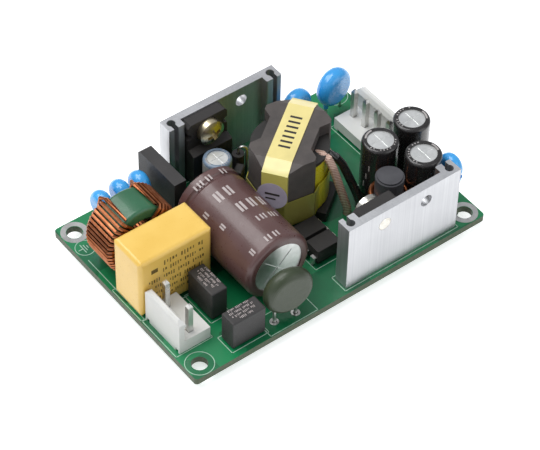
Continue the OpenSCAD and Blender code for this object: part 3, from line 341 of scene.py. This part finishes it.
# %% Shared effect: drawn metal
drawn, start, end = new_group(
    "drawn_metal",
    [("Vector", "NodeSocketVector", None), ("Colour", "NodeSocketColor", None),
     ("Shade", "NodeSocketColor", None), ("Stretch", "NodeSocketVector", (2500, 2500, 30)),
     ("Shine", "NodeSocketFloat", 0.35)],
    [("Colour", "NodeSocketColor", None), ("Roughness", "NodeSocketFloat", None),
     ("Height", "NodeSocketFloat", None)])
stretched = drawn.nodes.new("ShaderNodeVectorMath")
stretched.operation = "MULTIPLY"
drawn.links.new(start.outputs["Vector"], stretched.inputs[0])
drawn.links.new(start.outputs["Stretch"], stretched.inputs[1])
lines = noise(drawn, stretched.outputs["Vector"], 1.0, 3, 0.65)
smudge = noise(drawn, start.outputs["Vector"], 160, 3)
tone = blend_colour(drawn, ramp(drawn, lines.outputs["Fac"], 0.3, 0.7).outputs["Result"],
                    start.outputs["Colour"], start.outputs["Shade"])
drawn.links.new(tone, end.inputs["Colour"])
shine = drawn.nodes.new("ShaderNodeMath")
shine.operation = "ADD"
drawn.links.new(ramp(drawn, smudge.outputs["Fac"], 0.3, 0.7, -0.06, 0.08).outputs["Result"],
                shine.inputs[0])
drawn.links.new(start.outputs["Shine"], shine.inputs[1])
drawn.links.new(shine.outputs["Value"], end.inputs["Roughness"])
drawn.links.new(lines.outputs["Fac"], end.inputs["Height"])


def metal_finish(name, colour, shade, shine, stretch, depth=0.01):
    """A finish for bare or plated metal."""
    finish = Finish(name, colour, shine, 1.0)
    effect = finish.group(drawn, Colour=colour, Shade=shade, Shine=shine, Stretch=stretch)
    finish.join(effect.outputs["Colour"], finish.shader.inputs["Base Color"])
    finish.join(effect.outputs["Roughness"], finish.shader.inputs["Roughness"])
    finish.bump(effect.outputs["Height"], 0.4, depth * MM)
    return finish


print("group", drawn.name, "with", len(drawn.nodes), "nodes")

# %% [markdown]
# The board is glass cloth under a green lacquer. Copper under the lacquer makes broad fields a
# little lighter and raised, and where the board is cut its edge shows the plain laminate. The
# copper fields come from a Voronoi texture measured along the axes, because routed copper has
# square corners, and the edge comes from how far the surface faces up.

# %% Board lacquer
LACQUER = screen(12, 108, 66)
LACQUER_ON_COPPER = screen(20, 128, 78)
LAMINATE = screen(72, 84, 52)


def board_finish():
    finish = Finish("green_lacquer", LACQUER, 0.35, coat=0.35, coat_rough=0.15)
    tree = finish.tree
    fields = finish.add("ShaderNodeTexVoronoi", feature="F1", distance="CHEBYCHEV")
    fields.inputs["Scale"].default_value = 160
    fields.inputs["Randomness"].default_value = 0.85
    finish.join(finish.place(), fields.inputs["Vector"])
    split = finish.add("ShaderNodeSeparateColor")
    finish.join(fields.outputs["Color"], split.inputs["Color"])
    copper = ramp(tree, split.outputs["Red"], 0.48, 0.5)
    mottle = noise(tree, finish.place(), 300, 4)
    soft = blend_colour(tree, ramp(tree, mottle.outputs["Fac"], 0.3, 0.7).outputs["Result"],
                        LACQUER, screen(9, 96, 58))
    face = blend_colour(tree, copper.outputs["Result"], soft, LACQUER_ON_COPPER)
    up = finish.add("ShaderNodeSeparateXYZ")
    finish.join(finish.add("ShaderNodeNewGeometry").outputs["Normal"], up.inputs["Vector"])
    steep = finish.add("ShaderNodeMath", operation="ABSOLUTE")
    finish.join(up.outputs["Z"], steep.inputs[0])
    flat = ramp(tree, steep.outputs["Value"], 0.4, 0.6)
    cut = blend_colour(tree, ramp(tree, noise(tree, finish.place(), 1500, 3).outputs["Fac"],
                                  0.35, 0.65).outputs["Result"], LAMINATE, screen(52, 70, 44))
    finish.join(blend_colour(tree, flat.outputs["Result"], cut, face),
                finish.shader.inputs["Base Color"])
    finish.join(ramp(tree, flat.outputs["Result"], 0, 1, 0.75, 0.32).outputs["Result"],
                finish.shader.inputs["Roughness"])
    finish.bump(copper.outputs["Result"], 0.35, 0.03 * MM)
    return finish


lacquer = board_finish()
print("board finish", lacquer.material.name)

# %% [markdown]
# Now the plain finishes: one for each kind of plastic, coating and metal on the board. Each
# colour is a pair, the main tone and the one that clouds it.

# %% Plastics and coatings
nylon = moulded_finish("natural_nylon", screen(224, 224, 221), screen(214, 215, 210), 0.42,
                       depth=0.02)
black_moulding = moulded_finish("black_moulding", screen(56, 54, 54), screen(44, 43, 43), 0.55,
                                grain_scale=4500, depth=0.05)
package_black = moulded_finish("package_black", screen(46, 43, 42), screen(38, 36, 35), 0.5,
                               grain_scale=5000, depth=0.05)
yellow_box = moulded_finish("yellow_box", screen(240, 200, 102), screen(232, 190, 88), 0.34,
                            depth=0.02, coat=0.2)
green_coating = moulded_finish("green_coating", screen(52, 108, 76), screen(42, 94, 66), 0.38,
                               grain_scale=1500, depth=0.06, coat=0.2)
olive_coating = moulded_finish("olive_coating", screen(56, 66, 46), screen(48, 58, 40), 0.38,
                               grain_scale=1800, depth=0.05)
blue_coating = moulded_finish("blue_coating", screen(62, 168, 236), screen(52, 152, 224), 0.25,
                              grain_scale=900, depth=0.05, coat=0.6)
brown_sleeve = moulded_finish("brown_sleeve", screen(96, 70, 68), screen(88, 62, 60), 0.33,
                              grain_scale=1500, depth=0.03, coat=0.25)
black_sleeve = moulded_finish("black_sleeve", screen(38, 36, 36), screen(30, 28, 28), 0.28,
                              grain_scale=1500, depth=0.02, coat=0.4)
pale_sleeve = moulded_finish("pale_sleeve", screen(122, 140, 158), screen(108, 126, 148), 0.3,
                             grain_scale=1500, depth=0.02, coat=0.3)
bobbin_black = moulded_finish("bobbin_black", screen(44, 42, 40), screen(36, 34, 33), 0.5)
seal_rubber = moulded_finish("seal_rubber", screen(34, 33, 33), screen(26, 26, 26), 0.75,
                             grain_scale=2500, depth=0.06)
ferrite = moulded_finish("ferrite", screen(82, 76, 73), screen(70, 65, 63), 0.55,
                         grain_scale=3500, cloud_scale=300, depth=0.05)
rod_ferrite = moulded_finish("rod_ferrite", screen(76, 76, 80), screen(64, 64, 68), 0.4,
                             grain_scale=3500, cloud_scale=300, depth=0.04)
wire_coat = moulded_finish("black_wire_sleeve", screen(36, 42, 40), screen(26, 30, 30), 0.3,
                           grain_scale=1500, depth=0.02, coat=0.4)
print("plastics and coatings ready")

# %% [markdown]
# The metals follow. Tinned wire and solder are bright with a soft ripple, heatsinks are extruded
# upwards, and cans get a fine texture that is the same in every direction.

# %% Metals
tin = metal_finish("bright_tin", screen(222, 222, 220), screen(196, 196, 192), 0.3,
                   (900, 900, 300), 0.03)
heatsink_metal = metal_finish("extruded_aluminium", screen(206, 207, 209), screen(192, 193, 196),
                              0.46, (2200, 2200, 12), 0.02)
can_metal = metal_finish("drawn_aluminium", screen(240, 241, 240), screen(224, 226, 224), 0.42,
                         (700, 700, 700), 0.02)
copper = metal_finish("enamelled_copper", screen(172, 110, 76), screen(140, 80, 48), 0.32,
                      (600, 600, 600), 0.02)
zinc = metal_finish("yellow_zinc", screen(228, 216, 184), screen(200, 190, 160), 0.25,
                    (900, 900, 900), 0.02)
nickel = metal_finish("bright_nickel", screen(226, 224, 216), screen(202, 198, 188), 0.25,
                      (900, 900, 900), 0.02)
print("metals ready")

# %% [markdown]
# Polyester tape is a clear yellow film. Over white light it is pale, over the dark core it turns
# olive, and over the winding it is strong yellow. The film itself is too thin to make that
# happen, so the belt's colour follows how far the tape is from the middle of the coil. The tape
# on the core takes the same finish, though there is core under all of it. Its paler middle is
# painted light on its top, and its darker outer band is painted shade.

# %% Yellow tape
core_low, core_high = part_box("transformer_core_lower")
coil_centre = ((core_low + core_high) / 2).to_2d()
COIL_R = 8.75 * MM


def tape_finish(name, inner_colour, outer_colour, near, far):
    finish = Finish(name, inner_colour, 0.3, coat=0.5, coat_rough=0.12)
    tree = finish.tree
    centred = finish.add("ShaderNodeVectorMath", operation="SUBTRACT")
    centred.inputs[1].default_value = (coil_centre.x, coil_centre.y, 0)
    finish.join(finish.place(), centred.inputs[0])
    plan = finish.add("ShaderNodeVectorMath", operation="MULTIPLY")
    plan.inputs[1].default_value = (1, 1, 0)
    finish.join(centred.outputs["Vector"], plan.inputs[0])
    reach = finish.add("ShaderNodeVectorMath", operation="LENGTH")
    finish.join(plan.outputs["Vector"], reach.inputs[0])
    away = ramp(tree, reach.outputs["Value"], near, far)
    crease = noise(tree, finish.place(), 260, 4)
    film = blend_colour(tree, ramp(tree, crease.outputs["Fac"], 0.3, 0.7).outputs["Result"],
                        inner_colour, tuple(c * 0.86 for c in inner_colour[:3]) + (1,))
    finish.join(blend_colour(tree, away.outputs["Result"], film, outer_colour),
                finish.shader.inputs["Base Color"])
    finish.bump(crease.outputs["Fac"], 0.5, 0.12 * MM)
    return finish


belt_tape = tape_finish("belt_tape", screen(206, 196, 48), screen(140, 134, 64),
                        COIL_R, COIL_R + 1.2 * MM)
# The core tape's paler colour inside 10.4 mm is painted light on the tape's top, and its darker colour
# beyond 11.4 mm is painted shade; there is core under all of it.
core_tape = tape_finish("core_tape", screen(240, 224, 148), screen(204, 194, 98),
                        10.4 * MM, 11.4 * MM)
print("coil centre", tuple(round(v, 5) for v in coil_centre))

# %% [markdown]
# The tape over the core is printed on top. Ink has no thickness worth modelling here, and raised
# bars would make the part taller, so the print is a row of even bars in the finish itself. A
# Mapping node moves the pattern to the coil's middle and turns it with the core.

# %% Print on the tape
CORE_TURN = 36


def print_bars(finish, ink, top, pitch, wide, tall, reach):
    """Prints a row of even bars across the top of the tape, as plain fields of ink."""
    def math_node(kind, value, *numbers):
        node = finish.add("ShaderNodeMath", operation=kind)
        finish.join(value, node.inputs[0])
        for place, number in enumerate(numbers, 1):
            node.inputs[place].default_value = number
        return node.outputs["Value"]

    turned = finish.add("ShaderNodeMapping", vector_type="TEXTURE")
    turned.inputs["Location"].default_value = (coil_centre.x, coil_centre.y, 0)
    turned.inputs["Rotation"].default_value = (0, 0, math.radians(CORE_TURN))
    finish.join(finish.place(), turned.inputs["Vector"])
    axes = finish.add("ShaderNodeSeparateXYZ")
    finish.join(turned.outputs["Vector"], axes.inputs["Vector"])
    inked = math_node("LESS_THAN", math_node("PINGPONG", axes.outputs["X"], pitch / 2), wide / 2)
    for limit in (math_node("COMPARE", axes.outputs["X"], 0, reach),
                  math_node("COMPARE", axes.outputs["Y"], 0, tall / 2),
                  math_node("GREATER_THAN", axes.outputs["Z"], top - 0.1 * MM)):
        both = finish.add("ShaderNodeMath", operation="MULTIPLY")
        finish.join(inked, both.inputs[0])
        finish.join(limit, both.inputs[1])
        inked = both.outputs["Value"]
    film = finish.shader.inputs["Base Color"].links[0].from_socket
    finish.join(blend_colour(finish.tree, inked, film, ink), finish.shader.inputs["Base Color"])


print_bars(core_tape, screen(48, 44, 40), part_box("transformer_core_tape")[1].z,
           1.5 * MM, 0.6 * MM, 2.6 * MM, 5.6 * MM)
coil_tape = moulded_finish("coil_tape", screen(214, 204, 44), screen(196, 184, 30), 0.3,
                           cloud_scale=200, depth=0.05, coat=0.4)
print("tape on the core and the coil ready")

# %% [markdown]
# The bare transformer lead is a bundle of fine twisted wires with a pink enamel. Its strands are
# too fine to model one by one at this size, so diagonal bands with a bump make them, wound round
# the lead by a wave that runs across its length. The bands' lighter colour is a painted highlight
# on the strands' crests, and their darker colour is painted shade in the grooves between them.

# %% Stranded lead


def strand_finish():
    finish = Finish("stranded_wire", screen(216, 176, 164), 0.4, metal=0.35)
    tree = finish.tree
    band = finish.add("ShaderNodeTexWave", wave_type="BANDS", bands_direction="DIAGONAL")
    band.inputs["Scale"].default_value = 800
    band.inputs["Distortion"].default_value = 2.5
    band.inputs["Detail"].default_value = 2
    finish.join(finish.place(), band.inputs["Vector"])
    # The lighter band colour is a painted highlight on the strands, and the darker one is painted shade
    # between them.
    finish.join(blend_colour(tree, band.outputs["Fac"], screen(200, 158, 140),
                             screen(234, 206, 190)), finish.shader.inputs["Base Color"])
    finish.bump(band.outputs["Fac"], 0.5, 0.04 * MM)
    return finish


strands = strand_finish()
print("stranded lead ready")

# %% [markdown]
# Each solid gets its finish by name. Pieces of one kind share one, so a change to the finish
# changes them all.

# %% Give every solid its finish
FINISHES = {
    "pcb": lacquer, "solder_joints": tin,
    "input_header": nylon, "output_header": nylon,
    "input_header_pins": tin, "output_header_pins": tin,
    "fuse_1": black_moulding, "fuse_2": black_moulding, "film_capacitor": yellow_box,
    "choke_core": green_coating, "choke_winding_left": copper, "choke_winding_right": copper,
    "thermistor": olive_coating, "thermistor_leads": tin,
    "bridge_rectifier": black_moulding, "bridge_rectifier_leads": tin,
    "bulk_capacitor_sleeve": brown_sleeve, "bulk_capacitor_can": can_metal,
    "bulk_capacitor_seal": seal_rubber, "bulk_capacitor_leads": tin,
    "disc_capacitor_leads": tin, "primary_heatsink": heatsink_metal,
    "secondary_heatsink": heatsink_metal, "heatsink_pins": tin,
    "switching_transistor": package_black, "switching_transistor_leads": tin,
    "transistor_screw": zinc, "output_rectifier": package_black,
    "output_rectifier_leads": tin, "rectifier_screw": nickel,
    "small_capacitor_sleeve": pale_sleeve, "capacitor_cans": can_metal,
    "snubber_diode": black_moulding, "snubber_diode_lead": tin,
    "snubber_capacitor": black_moulding, "transformer_core_lower": ferrite,
    "transformer_core_upper": ferrite, "transformer_bobbin": bobbin_black,
    "transformer_winding": coil_tape, "transformer_core_tape": core_tape,
    "transformer_belt": belt_tape, "transformer_pins": tin, "fly_lead_litz": strands,
    "fly_lead_sleeved": wire_coat, "output_capacitor_1": black_sleeve,
    "output_capacitor_2": black_sleeve, "output_capacitor_3": black_sleeve,
    "output_inductor_core": rod_ferrite, "output_inductor_winding": copper,
    "optocoupler_1": package_black, "optocoupler_2": package_black,
    "optocoupler_leads": tin, "surface_mount_parts": package_black,
}
for number in range(1, 7):
    FINISHES[f"disc_capacitor_{number}"] = blue_coating
for name, node in nodes.items():
    for holder in node.material_slots:
        holder.material = FINISHES[name].material
print(len(FINISHES), "finishes given, missing:", sorted(set(nodes) - set(FINISHES)))

# %% [markdown]
# What is printed or stuck on has real thickness, about that of ink or paper. Bars and rings are
# enough for all of it. A bar is a cube squeezed to size, and a ring is a small square spun round
# an axis. Each set of marks becomes one object.

# %% Helpers for printed marks
INK = 0.03 * MM


def add_bar(bm, at, size, turn=0.0):
    """A flat bar with its middle at the point given, turned about Z."""
    where = (Matrix.Translation(at) @ Matrix.Rotation(math.radians(turn), 4, "Z")
             @ Matrix.Diagonal((*size, 1)))
    return bmesh.ops.create_cube(bm, size=1, matrix=where)["verts"]


def add_ring(bm, at, inner, outer, thick, start=0.0, sweep=360.0, steps=48):
    """A flat ring or part of one, lying on the point given."""
    corners = [(inner, 0), (outer, 0), (outer, thick), (inner, thick)]
    a = math.radians(start)
    middle = Vector(at)
    verts = [bm.verts.new(middle + Vector((r * math.cos(a), r * math.sin(a), z)))
             for r, z in corners]
    face = bm.faces.new(verts)
    whole = sweep >= 360
    geom = list(face.edges) + verts if whole else [face]
    if whole:
        bm.faces.remove(face)
        geom = [g for g in geom if g.is_valid]
    bmesh.ops.spin(bm, geom=geom, cent=middle, axis=(0, 0, 1), dvec=(0, 0, 0),
                   angle=math.radians(sweep), steps=steps, use_merge=whole)


def finish_piece(name, bm, finish):
    """Makes the object, gives it its finish and lets it ride on the part."""
    bmesh.ops.remove_doubles(bm, verts=bm.verts, dist=1e-7)
    bmesh.ops.recalc_face_normals(bm, faces=bm.faces)
    mesh = bpy.data.meshes.new(name)
    bm.to_mesh(mesh)
    bm.free()
    piece = bpy.data.objects.new(name, mesh)
    bpy.context.collection.objects.link(piece)
    mesh.materials.append(finish.material)
    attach(piece, "root")
    print(name, len(mesh.polygons), "faces")
    return piece


print("helpers for marks ready, ink", INK, "thick")

# %% [markdown]
# The inks are matt and a little uneven, so each is a moulded finish with fine clouds.

# %% Inks
white_ink = moulded_finish("white_ink", screen(178, 208, 188), screen(160, 192, 172), 0.6,
                           grain_scale=6000, cloud_scale=900, depth=0.02)
grey_ink = moulded_finish("grey_ink", screen(188, 178, 176), screen(172, 162, 160), 0.5,
                          cloud_scale=700, depth=0.02)
dark_ink = moulded_finish("dark_ink", screen(96, 78, 30), screen(110, 92, 40), 0.5,
                          cloud_scale=700, depth=0.02)
black_ink = moulded_finish("black_ink", screen(40, 36, 34), screen(52, 46, 42), 0.5,
                           cloud_scale=700, depth=0.02)
print("inks ready")

# %% [markdown]
# White outlines on the board show the fitter where each part goes. They are screen printed, so
# they are thin even lines. Their places follow the parts' own boxes, with a small margin.

# %% Outlines on the board
board_low, board_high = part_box("pcb")
TOP = board_high.z
LINE = 0.17 * MM
outlines = bmesh.new()


def outline_box(bm, x0, y0, x1, y1, sides="lrfb"):
    """Printed lines round a rectangle; sides picks left, right, front and back."""
    z = TOP + INK / 2
    mid_x, mid_y = (x0 + x1) / 2, (y0 + y1) / 2
    wide, deep = x1 - x0 + LINE, y1 - y0 + LINE
    for side, at, size in (("l", (x0, mid_y, z), (LINE, deep, INK)),
                           ("r", (x1, mid_y, z), (LINE, deep, INK)),
                           ("f", (mid_x, y0, z), (wide, LINE, INK)),
                           ("b", (mid_x, y1, z), (wide, LINE, INK))):
        if side in sides:
            add_bar(bm, at, size)


def outline_node(bm, node, margin, sides="lrfb"):
    low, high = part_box(node)
    edge = 0.25 * MM
    outline_box(bm, max(low.x - margin, board_low.x + edge),
                max(low.y - margin, board_low.y + edge),
                min(high.x + margin, board_high.x - edge),
                min(high.y + margin, board_high.y - edge), sides)


HEADER_AREA = (0.35, 7.2, 9.4, 19.0)
CHOKE_AREA = (1.05, 19.2, 18.9, 39.3)
MARGINS = {"film_capacitor": 0.45, "fuse_1": 0.5, "fuse_2": 0.5, "thermistor": 0.5,
           "secondary_heatsink": 0.45, "primary_heatsink": 0.45, "output_header": 0.5,
           "bridge_rectifier": 0.5}


def area_on_board(area):
    """Two corners given in millimetres from the board's corner, as places."""
    x0, y0, x1, y1 = area
    return (board_low.x + x0 * MM, board_low.y + y0 * MM,
            board_low.x + x1 * MM, board_low.y + y1 * MM)


outline_box(outlines, *area_on_board(HEADER_AREA))
for node, margin in MARGINS.items():
    outline_node(outlines, node, margin * MM)
outline_box(outlines, *area_on_board(CHOKE_AREA), "l")
for cap in ("output_capacitor_1", "output_capacitor_2", "output_capacitor_3",
            "small_capacitor_sleeve"):
    low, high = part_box(cap)
    mid = (low + high) / 2
    radius = (high.x - low.x) / 2 + 0.35 * MM
    add_ring(outlines, (mid.x, mid.y, TOP), radius, radius + LINE, INK)
opto_low, opto_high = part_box("optocoupler_1")[0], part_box("optocoupler_2")[1]
outline_box(outlines, opto_low.x - 0.9 * MM, opto_low.y - 0.7 * MM,
            opto_high.x + 1.5 * MM, opto_high.y + 0.3 * MM, "lrf")
print("outlines on", TOP)

# %% [markdown]
# The corner holes are marked too. Two of them have a tinned ring, where the screw touches earth,
# and the other two only have a printed circle. A short way in from one tinned ring is the usual
# mark for earth: a circle with three bars.

# %% Corner rings and the earth mark
HOLE_X, HOLE_Y = 69.85 / 2 * MM, 44.45 / 2 * MM
HOLE_R = 1.75 * MM
for x, y in ((-HOLE_X, -HOLE_Y), (HOLE_X, HOLE_Y)):
    add_ring(outlines, (x, y, TOP), 2.95 * MM, 3.1 * MM, INK)

rings = bmesh.new()
TIN_T = 0.05 * MM
for x, y in ((-HOLE_X, HOLE_Y), (HOLE_X, -HOLE_Y)):
    for z in (TOP, board_low.z - TIN_T):
        add_ring(rings, (x, y, z), HOLE_R + 0.08 * MM, 3.0 * MM, TIN_T, steps=64)
for x, y in ((-HOLE_X, -HOLE_Y), (HOLE_X, HOLE_Y)):
    add_ring(rings, (x, y, board_low.z - TIN_T), HOLE_R + 0.6 * MM, 2.6 * MM, TIN_T)
leads_low, leads_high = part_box("thermistor_leads")
for x, y in ((leads_low.x + 0.4 * MM, leads_high.y - 0.4 * MM),
             (leads_high.x - 0.4 * MM, leads_low.y + 0.4 * MM)):
    add_ring(rings, (x, y, TOP), 0.5 * MM, 1.0 * MM, TIN_T, steps=32)
finish_piece("tinned_rings", rings, tin)

earth = Vector((board_low.x + 2.5 * MM, board_high.y - 8.1 * MM, TOP))
add_ring(outlines, earth, 2.05 * MM, 2.2 * MM, INK)
for step, width in ((0.0, 2.6), (0.55, 1.7), (1.1, 0.8)):
    add_bar(outlines, earth + Vector(((step - 0.5) * MM, 0, INK / 2)),
            (0.18 * MM, width * MM, INK))
add_bar(outlines, earth + Vector((-1.1 * MM, 0, INK / 2)), (1.1 * MM, 0.18 * MM, INK))
finish_piece("board_outlines", outlines, white_ink)

# %% [markdown]
# Markings on small parts read as rows of fine light or dark ticks at this size. They are made as
# plain upright ticks whose height and width vary in a fixed pattern, so no words appear.

# %% Rows of ticks
TICKS = ((1.0, 0.4), (0.55, 0.3), (0.85, 0.5), (1.0, 0.3), (0.6, 0.6), (0.9, 0.35), (0.5, 0.45))


def tick_row(length, height, seed):
    """Ticks along one row as (place, width, height), with gaps between groups."""
    pitch = height * 0.55
    row, step = [], seed
    for number in range(int(length / pitch)):
        if (number + seed) % 6 != 5:
            tall, wide = TICKS[step % len(TICKS)]
            row.append((-length / 2 + number * pitch, wide * pitch, tall * height))
        step += 1 + number % 2
    return row


def ticks_on_top(bm, middle, turn, rows):
    """Rows of ticks lying flat; each row is (offset, length, height)."""
    c, s = math.cos(math.radians(turn)), math.sin(math.radians(turn))
    for number, (offset, length, height) in enumerate(rows):
        for along, wide, tall in tick_row(length, height, number * 2):
            x, y = along, offset + (height - tall) / 3
            add_bar(bm, middle + Vector((x * c - y * s, x * s + y * c, INK / 2)),
                    (wide, tall, INK), turn)


marks = bmesh.new()
FUSE_TICK = 0.6
FUSE_ROWS = ((1.5, 5.6), (0.6, 6.0), (-0.3, 5.8), (-1.2, 3.4))
for fuse, turn in (("fuse_1", -90), ("fuse_2", 0)):
    low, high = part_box(fuse)
    mid = (low + high) / 2
    ticks_on_top(marks, Vector((mid.x, mid.y, high.z)), turn,
                 [(off * MM, length * MM, FUSE_TICK * MM) for off, length in FUSE_ROWS])
finish_piece("fuse_marks", marks, grey_ink)

# %% [markdown]
# The film capacitor's broad front face is printed too. Its rows stand upright, so they are given
# by their height over the board, their place along the face, their length and their size.

# %% Marks on the film capacitor
FILM_ROWS = ((13.2, 2.4, 10.6, 1.3), (11.2, 2.2, 10.8, 1.1), (9.2, 0.4, 14.2, 1.1),
             (7.2, 0.2, 14.4, 1.1), (5.3, 0.8, 12.6, 1.0), (3.6, 0.8, 11.0, 0.9))
marks = bmesh.new()
low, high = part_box("film_capacitor")
for number, (z, x, length, height) in enumerate(FILM_ROWS):
    for along, wide, tall in tick_row(length * MM, height * MM, number * 3):
        add_bar(marks, ((low.x + high.x) / 2 + x * MM + along, low.y - INK / 2,
                        TOP + z * MM + (height * MM - tall) / 3), (wide, INK, tall))
add_bar(marks, ((low.x + high.x) / 2 - 5.4 * MM, low.y - INK / 2, TOP + 12.2 * MM),
        (1.6 * MM, INK, 1.1 * MM))
finish_piece("film_capacitor_marks", marks, dark_ink)

# %% [markdown]
# A round paper label is stuck on the near end of the transformer, over the tape. It is a thin
# lilac disc that leans out a little at its foot, and two plain bars are enough on it.

# %% Label on the transformer
label_paper = moulded_finish("label_paper", screen(176, 168, 182), screen(164, 156, 172), 0.55,
                             cloud_scale=400, depth=0.04)
LABEL_T = 0.06 * MM
LABEL_R = 3.3 * MM
LABEL_Z = 12.1 * MM
LABEL_LEAN = 6
LABEL_U = 11.55 * MM + LABEL_R * math.sin(math.radians(LABEL_LEAN))
facing = (Matrix.Translation((coil_centre.x, coil_centre.y, TOP))
          @ Matrix.Rotation(math.radians(CORE_TURN), 4, "Z")
          @ Matrix.Translation((-LABEL_U, 0.3 * MM, LABEL_Z))
          @ Matrix.Rotation(math.radians(LABEL_LEAN - 90), 4, "Y"))
label = bmesh.new()
bmesh.ops.create_cone(label, cap_ends=True, segments=48, radius1=LABEL_R, radius2=LABEL_R,
                      depth=LABEL_T)
bmesh.ops.transform(label, matrix=facing, verts=label.verts)
finish_piece("transformer_label", label, label_paper)
mark = bmesh.new()
add_bar(mark, (0.5 * MM, 0, LABEL_T / 2 + INK / 2), (0.5 * MM, 3.2 * MM, INK))
add_bar(mark, (-0.7 * MM, 0.3 * MM, LABEL_T / 2 + INK / 2), (0.4 * MM, 2.2 * MM, INK))
bmesh.ops.transform(mark, matrix=facing, verts=mark.verts)
finish_piece("transformer_label_mark", mark, black_ink)

# %% [markdown]
# The bulk capacitor's sleeve is printed before it is shrunk on, so its marks follow the curve.
# They are laid out flat, with one direction round the can and one along it, and then bent: each
# point's distance round the can becomes an angle about the can's axis.

# %% Marks on the bulk capacitor
sleeve_low, sleeve_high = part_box("bulk_capacitor_sleeve")
BULK_AXIS = (sleeve_low + sleeve_high) / 2
BULK_R = (sleeve_high.x - sleeve_low.x) / 2
BULK_FRONT = sleeve_low.y


def wrap_on_bulk(bm):
    """Bends flat marks (round, along, off the surface) onto the sleeve."""
    for v in bm.verts:
        angle = v.co.x / BULK_R
        r = BULK_R + v.co.z
        v.co = Vector((BULK_AXIS.x + r * math.sin(angle), BULK_FRONT + v.co.y,
                       BULK_AXIS.z + r * math.cos(angle)))


def curved_bar(bm, round_at, along, width, length):
    """A bar that is split across its width, so that it can bend."""
    before = set(bm.verts)
    add_bar(bm, (round_at, along, INK / 2), (width, length, INK))
    new = [v for v in bm.verts if v not in before]
    edges = {e for v in new for e in v.link_edges
             if abs(e.verts[0].co.x - e.verts[1].co.x) > 1e-9}
    cuts = max(1, int(width / (0.5 * MM)))
    bmesh.ops.subdivide_edges(bm, edges=list(edges), cuts=cuts, use_grid_fill=True)


marks = bmesh.new()
TALL, SHORT = (0.55, 2.7), (0.38, 1.5)
BULK_ROWS = (
    (TALL, 12.2, (-0.9, 0.0, 1.7, 2.6, 4.4, 5.3)), (TALL, 17.4, (-2.9, -2.0, -0.3, 0.6)),
    (SHORT, 16.6, (-7.4, -6.7)), (SHORT, 11.6, (-6.6, -6.0)),
    (SHORT, 7.6, (0.2, 1.2, 2.0, 3.4, 4.2, 5.2)), (SHORT, 22.7, (-4.6, -3.6, -2.8, -1.4, -0.6)),
    (SHORT, 22.9, (2.4, 3.4)), (SHORT, 2.2, (-1.8, -0.9, 0.3, 1.1, -6.0, -5.4)))
for size, along, places in BULK_ROWS:
    for place in places:
        curved_bar(marks, place * MM, along * MM, size[0] * MM, size[1] * MM)
wrap_on_bulk(marks)
finish_piece("bulk_capacitor_marks", marks, grey_ink)

# %% [markdown]
# A pale stripe down the far side of the sleeve marks the negative lead. It is one more bent bar,
# cut across its width so that it follows the curve.

# %% Stripe on the bulk capacitor
stripe = bmesh.new()
STRIPE_AT = 11.6 * MM
STRIPE_W = 4.2 * MM
curved_bar(stripe, STRIPE_AT, 11.9 * MM, STRIPE_W, 21.0 * MM)
wrap_on_bulk(stripe)
stripe_ink = moulded_finish("stripe_ink", screen(176, 172, 170), screen(160, 156, 154), 0.4,
                            cloud_scale=500, depth=0.02, coat=0.3)
finish_piece("bulk_capacitor_stripe", stripe, stripe_ink)

# %% [markdown]
# The upright capacitors carry a pale band down one side, which marks the negative lead, and the
# band's end shows as a pale arc on the rolled rim. Each entry gives where the band starts round
# the can and how far it sweeps, in degrees. Short ticks round the rim and side are the print.

# %% Bands on the upright capacitors
bands, ticks = bmesh.new(), bmesh.new()
BANDS = {"output_capacitor_1": (-38, 44), "output_capacitor_2": (88, 50),
         "output_capacitor_3": (-22, 40), "small_capacitor_sleeve": (150, 50)}
for number, (cap, (start, sweep)) in enumerate(BANDS.items()):
    low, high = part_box(cap)
    mid = (low + high) / 2
    radius = (high.x - low.x) / 2
    add_ring(bands, (mid.x, mid.y, low.z + 2.6 * MM), radius, radius + INK,
             high.z - low.z - 3.4 * MM, start=start, sweep=sweep, steps=12)
    add_ring(bands, (mid.x, mid.y, high.z - INK / 2), radius * 0.74, radius * 0.84, INK,
             start=start, sweep=sweep, steps=12)
    for step in range(4, 15):
        if step % 5 != number % 5:
            add_ring(ticks, (mid.x, mid.y, high.z - INK / 2), radius * 0.755, radius * 0.835, INK,
                     start=start + sweep + step * 13, sweep=5, steps=2)
    for step in range(3):
        add_ring(ticks, (mid.x, mid.y, low.z + (4.5 + 2.6 * step) * MM), radius, radius + INK,
                 1.5 * MM, start=start + sweep + 40 + 9 * step, sweep=4, steps=2)
finish_piece("capacitor_bands", bands, stripe_ink)
finish_piece("capacitor_ticks", ticks, stripe_ink)
